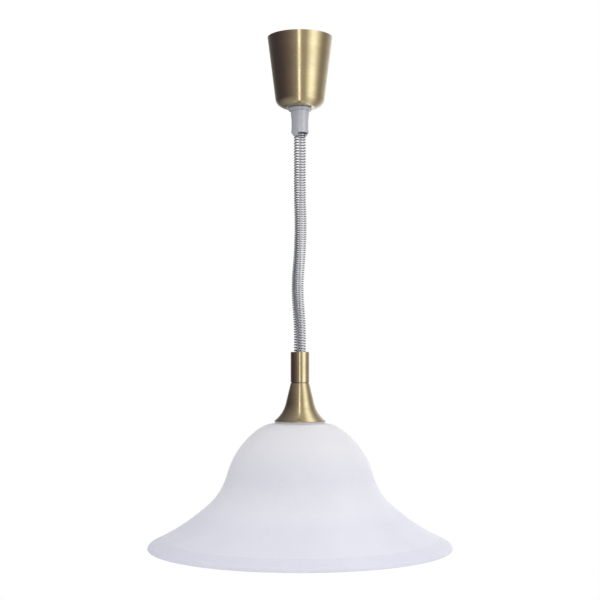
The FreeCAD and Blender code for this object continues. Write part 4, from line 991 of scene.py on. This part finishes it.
@dataclass
class GlassShade:
    """The flared opal glass with its border round the rim.

    The inner skin is smooth, so away from the rim it keeps one point in three.
    """

    crown: float = -0.49894
    hole: float = 21.5 * MM
    crown_radius: float = 28.7 * MM
    thickness: float = 3.5 * MM
    bends: tuple[Bend, ...] = (
        Bend(47.5 * MM, 37.2), Bend(109.5 * MM, 37.5), Bend(83.9 * MM, -32.7), Bend(295.5 * MM, -17.4),
    )
    lip: float = 7.6 * MM
    band_width: float = 18.5 * MM
    band_depth: float = 0.35 * MM
    crease_reach: float = 1.6 * MM
    edge_round: float = 0.42
    edge_points: int = 10
    fine: float = 0.8
    around: int = 312
    inner_stride: int = 3
    inner_kept: int = 12

    def skin(self) -> bpy.types.Object:
        """Make the glass as one thick turned shell.

        Returns:
            The mesh object.
        """
        slope = sum(b.degrees for b in self.bends)
        flat = Run(self.crown_radius - self.hole)
        steps: list[Bend | Run] = [flat, *self.bends, Bend(self.lip, 90 - slope)]
        start = (self.hole, self.crown)
        outer = follow(start, 0.0, steps, fine=self.fine)
        inner = follow(start, 0.0, steps, inset=self.thickness, fine=self.fine)
        crease = outer[-1][0] - self.band_width
        edge_low = outer[-1][1]
        edge_high = edge_low + self.thickness * self.edge_round
        shaped = []
        for r, z in outer:
            dip = self.band_depth * max(0.0, 1 - abs(r - crease) / self.crease_reach) ** 2
            if z > edge_high:
                shaped.append((r, z - dip))
        hollow = [(r, z) for r, z in inner if z > edge_high or r < crease]
        hollow = hollow[: -self.inner_kept : self.inner_stride] + hollow[-self.inner_kept :]
        edge = rounded(shaped[-1], hollow[-1], edge_low - shaped[-1][1], self.edge_points)
        return lathe("glass_skin", shaped + edge + hollow[::-1], self.around, 40.0)

    def build(self) -> None:
        """Make the glass."""
        hand_over(self.skin(), Body.LAMP_HEAD, Finishes.OPAL_GLASS, "opal_glass", "glass_shade")


@dataclass
class CarriedNodes:
    """The nodes of the frame that keep their own shape and get a better finish."""

    finishes: dict[Finishes, tuple[str, ...]] = field(
        default_factory=lambda: {
            Finishes.ZINC_STEEL: (
                "ceiling_eye", "hanger_strap", "strap_screws", "reel_frame", "reel_axle", "thrust_washers",
                "brake_nut", "terminal_plate", "plate_screws", "block_screws", "terminal_screws",
                "saddle_screws", "brake_screw", "nipple_nuts", "grip_screw", "holder_screws",
            ),
            # The seam washer is zinc; its dark blued finish is painted shade in the recessed seam.
            Finishes.SPRING_STEEL_AND_SEAM_SHADE: ("axle_circlip", "mainspring", "seam_washer"),
            Finishes.GREY_ABS: ("outlet_nozzle", "cup_bush"),
            Finishes.WHITE_ACETAL: (
                "nozzle_nut", "cord_guide", "terminal_block", "flex_saddle", "drum", "barrel_lid",
                "tube_bush", "cord_grip",
            ),
            Finishes.SILVER_PVC: ("upper_flex", "lower_flex"),
            Finishes.BROWN_PVC: ("upper_cores", "lower_cores"),
            Finishes.TURNED_BRASS: (
                "terminal_inserts", "cord_stop", "cord_ferrule", "tube_disc", "nipple", "contact_blocks",
                "contact_tongue", "screw_shell",
            ),
            Finishes.BLACK_PHENOLIC: (
                "lampholder_cap", "lampholder_skirt", "upper_shade_ring", "lower_shade_ring",
            ),
            Finishes.STEATITE: ("contact_carrier",),
            Finishes.FIBRE: ("ring_washer",),
            Finishes.SILICONE: ("shade_gasket",),
        }
    )

    def build(self, nodes: dict[str, bpy.types.Object]) -> None:
        """Give each node its finish.

        Args:
            nodes: The frame's nodes by name.
        """
        for finish, names in self.finishes.items():
            for name in names:
                carried = nodes[name]
                carried.data.materials.clear()
                carried.data.materials.append(finish.material)
                LOG.info("%s keeps its shape, finished as %s", name, finish.value.name)


# ---------------------------------------------------------------- studio
@dataclass(frozen=True)
class Panel:
    """A place on the light tent: degrees right of the camera's side as a face that mirrors it would
    turn, how bright the tent is there, and how much of its green and blue light is left."""

    degrees: float
    level: float
    green: float = 1.0
    blue: float = 1.0


@dataclass
class Studio:
    """A light tent with a dark left side, a soft lamp on the right, and the camera's place.

    The tent's panels run up in front of the lamp, over it, and meet behind it, so that upright and
    flared metal show the same bands.
    """

    camera_place: Point = (0.0, -1.643, -0.4168)
    pitch_degrees: float = 2.84
    view_degrees: float = 27.41
    sight: float = 60.0
    floor_height: float = -2.4
    floor_reach: float = 12.0
    floor_colour: str = "#F2F2F2"
    # The light on matt surfaces, and how much more of it comes from the right and from above.
    fill: float = 0.84
    fill_from_right: float = 0.15
    fill_from_above: float = 0.08
    brightest: float = 5.0
    # Where the tent pales into roof and floor: from and to which upward part of the direction, how
    # far, and how bright they are.
    roof_from: float = 0.25
    roof_to: float = 0.95
    roof_haze: float = 0.18
    roof_level: float = 1.2
    ground_from: float = -0.25
    ground_to: float = -0.85
    ground_haze: float = 0.62
    ground_level: float = 0.62
    strip_degrees: float = -1.4
    strip_width: float = 3.0
    strip_level: float = 3.0
    strip_fades_from: float = 0.8
    key_place: Point = (1.6, -1.3, 0.3)
    key_aim: Point = (0.0, 0.0, -0.5)
    key_size: tuple[float, float] = (0.9, 1.6)
    key_watts: float = 9.5
    panels: tuple[Panel, ...] = (
        Panel(-90, 1.0), Panel(-74, 0.2), Panel(-60, 0.085, 0.92, 1.3), Panel(-46, 0.085, 0.92, 1.3),
        Panel(-34, 0.13, 0.88, 1.1), Panel(-21, 0.24, 0.9), Panel(-10, 0.44, 0.97), Panel(-1, 0.6),
        Panel(7, 0.58, 1.01, 0.92), Panel(12, 0.68, 1.01, 0.92), Panel(18, 1.5, 1.05, 1.0),
        Panel(23.5, 2.2, 1.08, 1.08), Panel(30, 1.95, 1.08, 1.08), Panel(37, 1.05, 1.02, 0.96),
        Panel(44, 0.5, 0.96, 0.88), Panel(52, 0.4, 0.95, 0.92), Panel(62, 0.62), Panel(76, 1.0),
        Panel(90, 1.0),
    )

    def camera(self) -> None:
        """Set the camera at the photograph's viewing angle."""
        data = bpy.data.cameras.new("camera")
        data.sensor_fit = "HORIZONTAL"
        data.angle = math.radians(self.view_degrees)
        data.clip_end = self.sight
        eye = bpy.data.objects.new("camera", data)
        eye.location = self.camera_place
        eye.rotation_euler = (math.radians(90 + self.pitch_degrees), 0.0, 0.0)
        bpy.context.scene.collection.objects.link(eye)
        bpy.context.scene.camera = eye

    def lamp(self, name: str, place: Point, aim: Point, size: tuple[float, float], power: float) -> None:
        """Hang one soft rectangular lamp that metal doesn't mirror.

        Args:
            name: Name of the lamp.
            place: Where it hangs.
            aim: What it points at.
            size: Width and height.
            power: Watts.
        """
        data = bpy.data.lights.new(name, "AREA")
        data.shape = "RECTANGLE"
        data.size, data.size_y = size
        data.energy = power
        made = bpy.data.objects.new(name, data)
        made.location = place
        made.rotation_euler = (Vector(aim) - Vector(place)).to_track_quat("-Z", "Y").to_euler()
        made.visible_glossy = False
        bpy.context.scene.collection.objects.link(made)

    def floor(self) -> None:
        """Lay the pale floor, which looks as white as what is behind it."""
        s = self.floor_reach
        corners = [(x, y, self.floor_height) for x, y in ((-s, -s), (s, -s), (s, s), (-s, s))]
        made = mesh_object("floor", corners, [(0, 1, 2, 3)], 60.0)
        material = bpy.data.materials.new("pale_floor")
        material.use_nodes = True
        tree = material.node_tree
        tree.nodes.clear()
        ray = add_node(tree, "ShaderNodeLightPath").outputs
        matt = add_node(tree, "ShaderNodeBsdfDiffuse", {"Color": linear(self.floor_colour)})
        white = add_node(tree, "ShaderNodeEmission", {"Color": WHITE, "Strength": 1.0})
        mixed = add_node(
            tree, "ShaderNodeMixShader", {0: ray["Is Camera Ray"], 1: matt.outputs[0], 2: white.outputs[0]}
        )
        add_node(tree, "ShaderNodeOutputMaterial", {"Surface": mixed.outputs[0]})
        made.data.materials.append(material)
        made.visible_glossy = False

    def strip(
        self, tree: bpy.types.NodeTree, turn: bpy.types.NodeSocket, height: bpy.types.NodeSocket
    ) -> bpy.types.NodeSocket:
        """Add the narrow strip lamp by the camera, which runs up and fades out overhead.

        Args:
            tree: The world's node tree.
            turn: Angle of the panel looked at, in radians.
            height: Upward part of the direction.

        Returns:
            The strip's brightness there, as a share of the brightest.
        """
        middle = math.radians(self.strip_degrees)
        off = add_node(tree, "ShaderNodeMath", {0: turn, 1: middle}, operation="SUBTRACT")
        away = add_node(tree, "ShaderNodeMath", {0: off.outputs[0]}, operation="ABSOLUTE")
        edge = math.radians(self.strip_width)
        level = self.strip_level / self.brightest
        beam = add_node(tree, "ShaderNodeMapRange", {0: away.outputs[0], 1: 0.0, 2: edge, 3: level, 4: 0.0})
        fades = {0: height, 1: self.strip_fades_from, 2: 1.0, 3: 1.0, 4: 0.0}
        upper = add_node(tree, "ShaderNodeMapRange", fades)
        factors = {0: beam.outputs[0], 1: upper.outputs[0]}
        return add_node(tree, "ShaderNodeMath", factors, operation="MULTIPLY").outputs[0]

    def world(self) -> None:
        """Make the tent: white to look at, banded where metal mirrors it, and even as a light."""
        world = bpy.data.worlds.new("light_tent")
        world.use_nodes = True
        bpy.context.scene.world = world
        tree = world.node_tree
        tree.nodes.clear()
        look = add_node(tree, "ShaderNodeTexCoord").outputs["Generated"]
        x, y, z = add_node(tree, "ShaderNodeSeparateXYZ", {0: look}).outputs
        ahead = add_node(tree, "ShaderNodeMath", {0: 1.0, 1: y}, operation="SUBTRACT")
        turn = add_node(tree, "ShaderNodeMath", {0: x, 1: ahead.outputs[0]}, operation="ARCTAN2")
        share = add_node(
            tree, "ShaderNodeMapRange", {0: turn.outputs[0], 1: -math.pi / 2, 2: math.pi / 2, 3: 0.0, 4: 1.0}
        )
        tent = add_node(tree, "ShaderNodeValToRGB", {0: share.outputs[0]})
        stops = []
        for panel in self.panels:
            level = panel.level / self.brightest
            stops.append(((panel.degrees + 90) / 180, (level, level * panel.green, level * panel.blue, 1.0)))
        ramp(tent, stops)
        colour = tent.outputs[0]
        for begin, end, haze, level in (
            (self.roof_from, self.roof_to, self.roof_haze, self.roof_level),
            (self.ground_from, self.ground_to, self.ground_haze, self.ground_level),
        ):
            share_of_haze = {0: z, 1: begin, 2: end, 3: 0.0, 4: haze}
            hazy = add_node(tree, "ShaderNodeMapRange", share_of_haze).outputs[0]
            pale = (level / self.brightest,) * 3 + (1.0,)
            blend = {0: hazy, 6: colour, 7: pale}
            colour = add_node(tree, "ShaderNodeMix", blend, data_type="RGBA").outputs[2]
        strip = self.strip(tree, turn.outputs[0], z)
        lit = add_node(
            tree, "ShaderNodeMix", {0: 1.0, 6: colour, 7: strip}, data_type="RGBA", blend_type="ADD"
        )
        bands = add_node(tree, "ShaderNodeBackground", {"Color": lit.outputs[2], "Strength": self.brightest})
        sideways = {0: x, 1: self.fill * self.fill_from_right, 2: self.fill}
        rightward = add_node(tree, "ShaderNodeMath", sideways, operation="MULTIPLY_ADD").outputs[0]
        upward = {0: z, 1: self.fill * self.fill_from_above, 2: rightward}
        fill = add_node(tree, "ShaderNodeMath", upward, operation="MULTIPLY_ADD").outputs[0]
        plain = add_node(tree, "ShaderNodeBackground", {"Color": WHITE, "Strength": fill})
        white = add_node(tree, "ShaderNodeBackground", {"Color": WHITE, "Strength": 1.0})
        ray = add_node(tree, "ShaderNodeLightPath").outputs
        mirrored = add_node(
            tree, "ShaderNodeMixShader", {0: ray["Is Glossy Ray"], 1: plain.outputs[0], 2: bands.outputs[0]}
        )
        views = {0: ray["Is Camera Ray"], 1: mirrored.outputs[0], 2: white.outputs[0]}
        seen = add_node(tree, "ShaderNodeMixShader", views)
        add_node(tree, "ShaderNodeOutputWorld", {"Surface": seen.outputs[0]})

    def build(self) -> None:
        """Set up everything round the lamp."""
        self.camera()
        self.floor()
        self.world()
        self.lamp("key_right", self.key_place, self.key_aim, self.key_size, self.key_watts)
        bpy.context.scene.view_settings.view_transform = "Standard"


def main() -> None:
    """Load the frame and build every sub-assembly in order."""
    logging.basicConfig(level=logging.INFO, format="%(name)s: %(message)s")
    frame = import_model()
    Studio().build()
    CoiledFlex().build()
    SteelCord().build()
    CeilingCup().build()
    BrassStem().build()
    GlassShade().build()
    CarriedNodes().build(frame["nodes"])


if __name__ == "__main__":
    main()
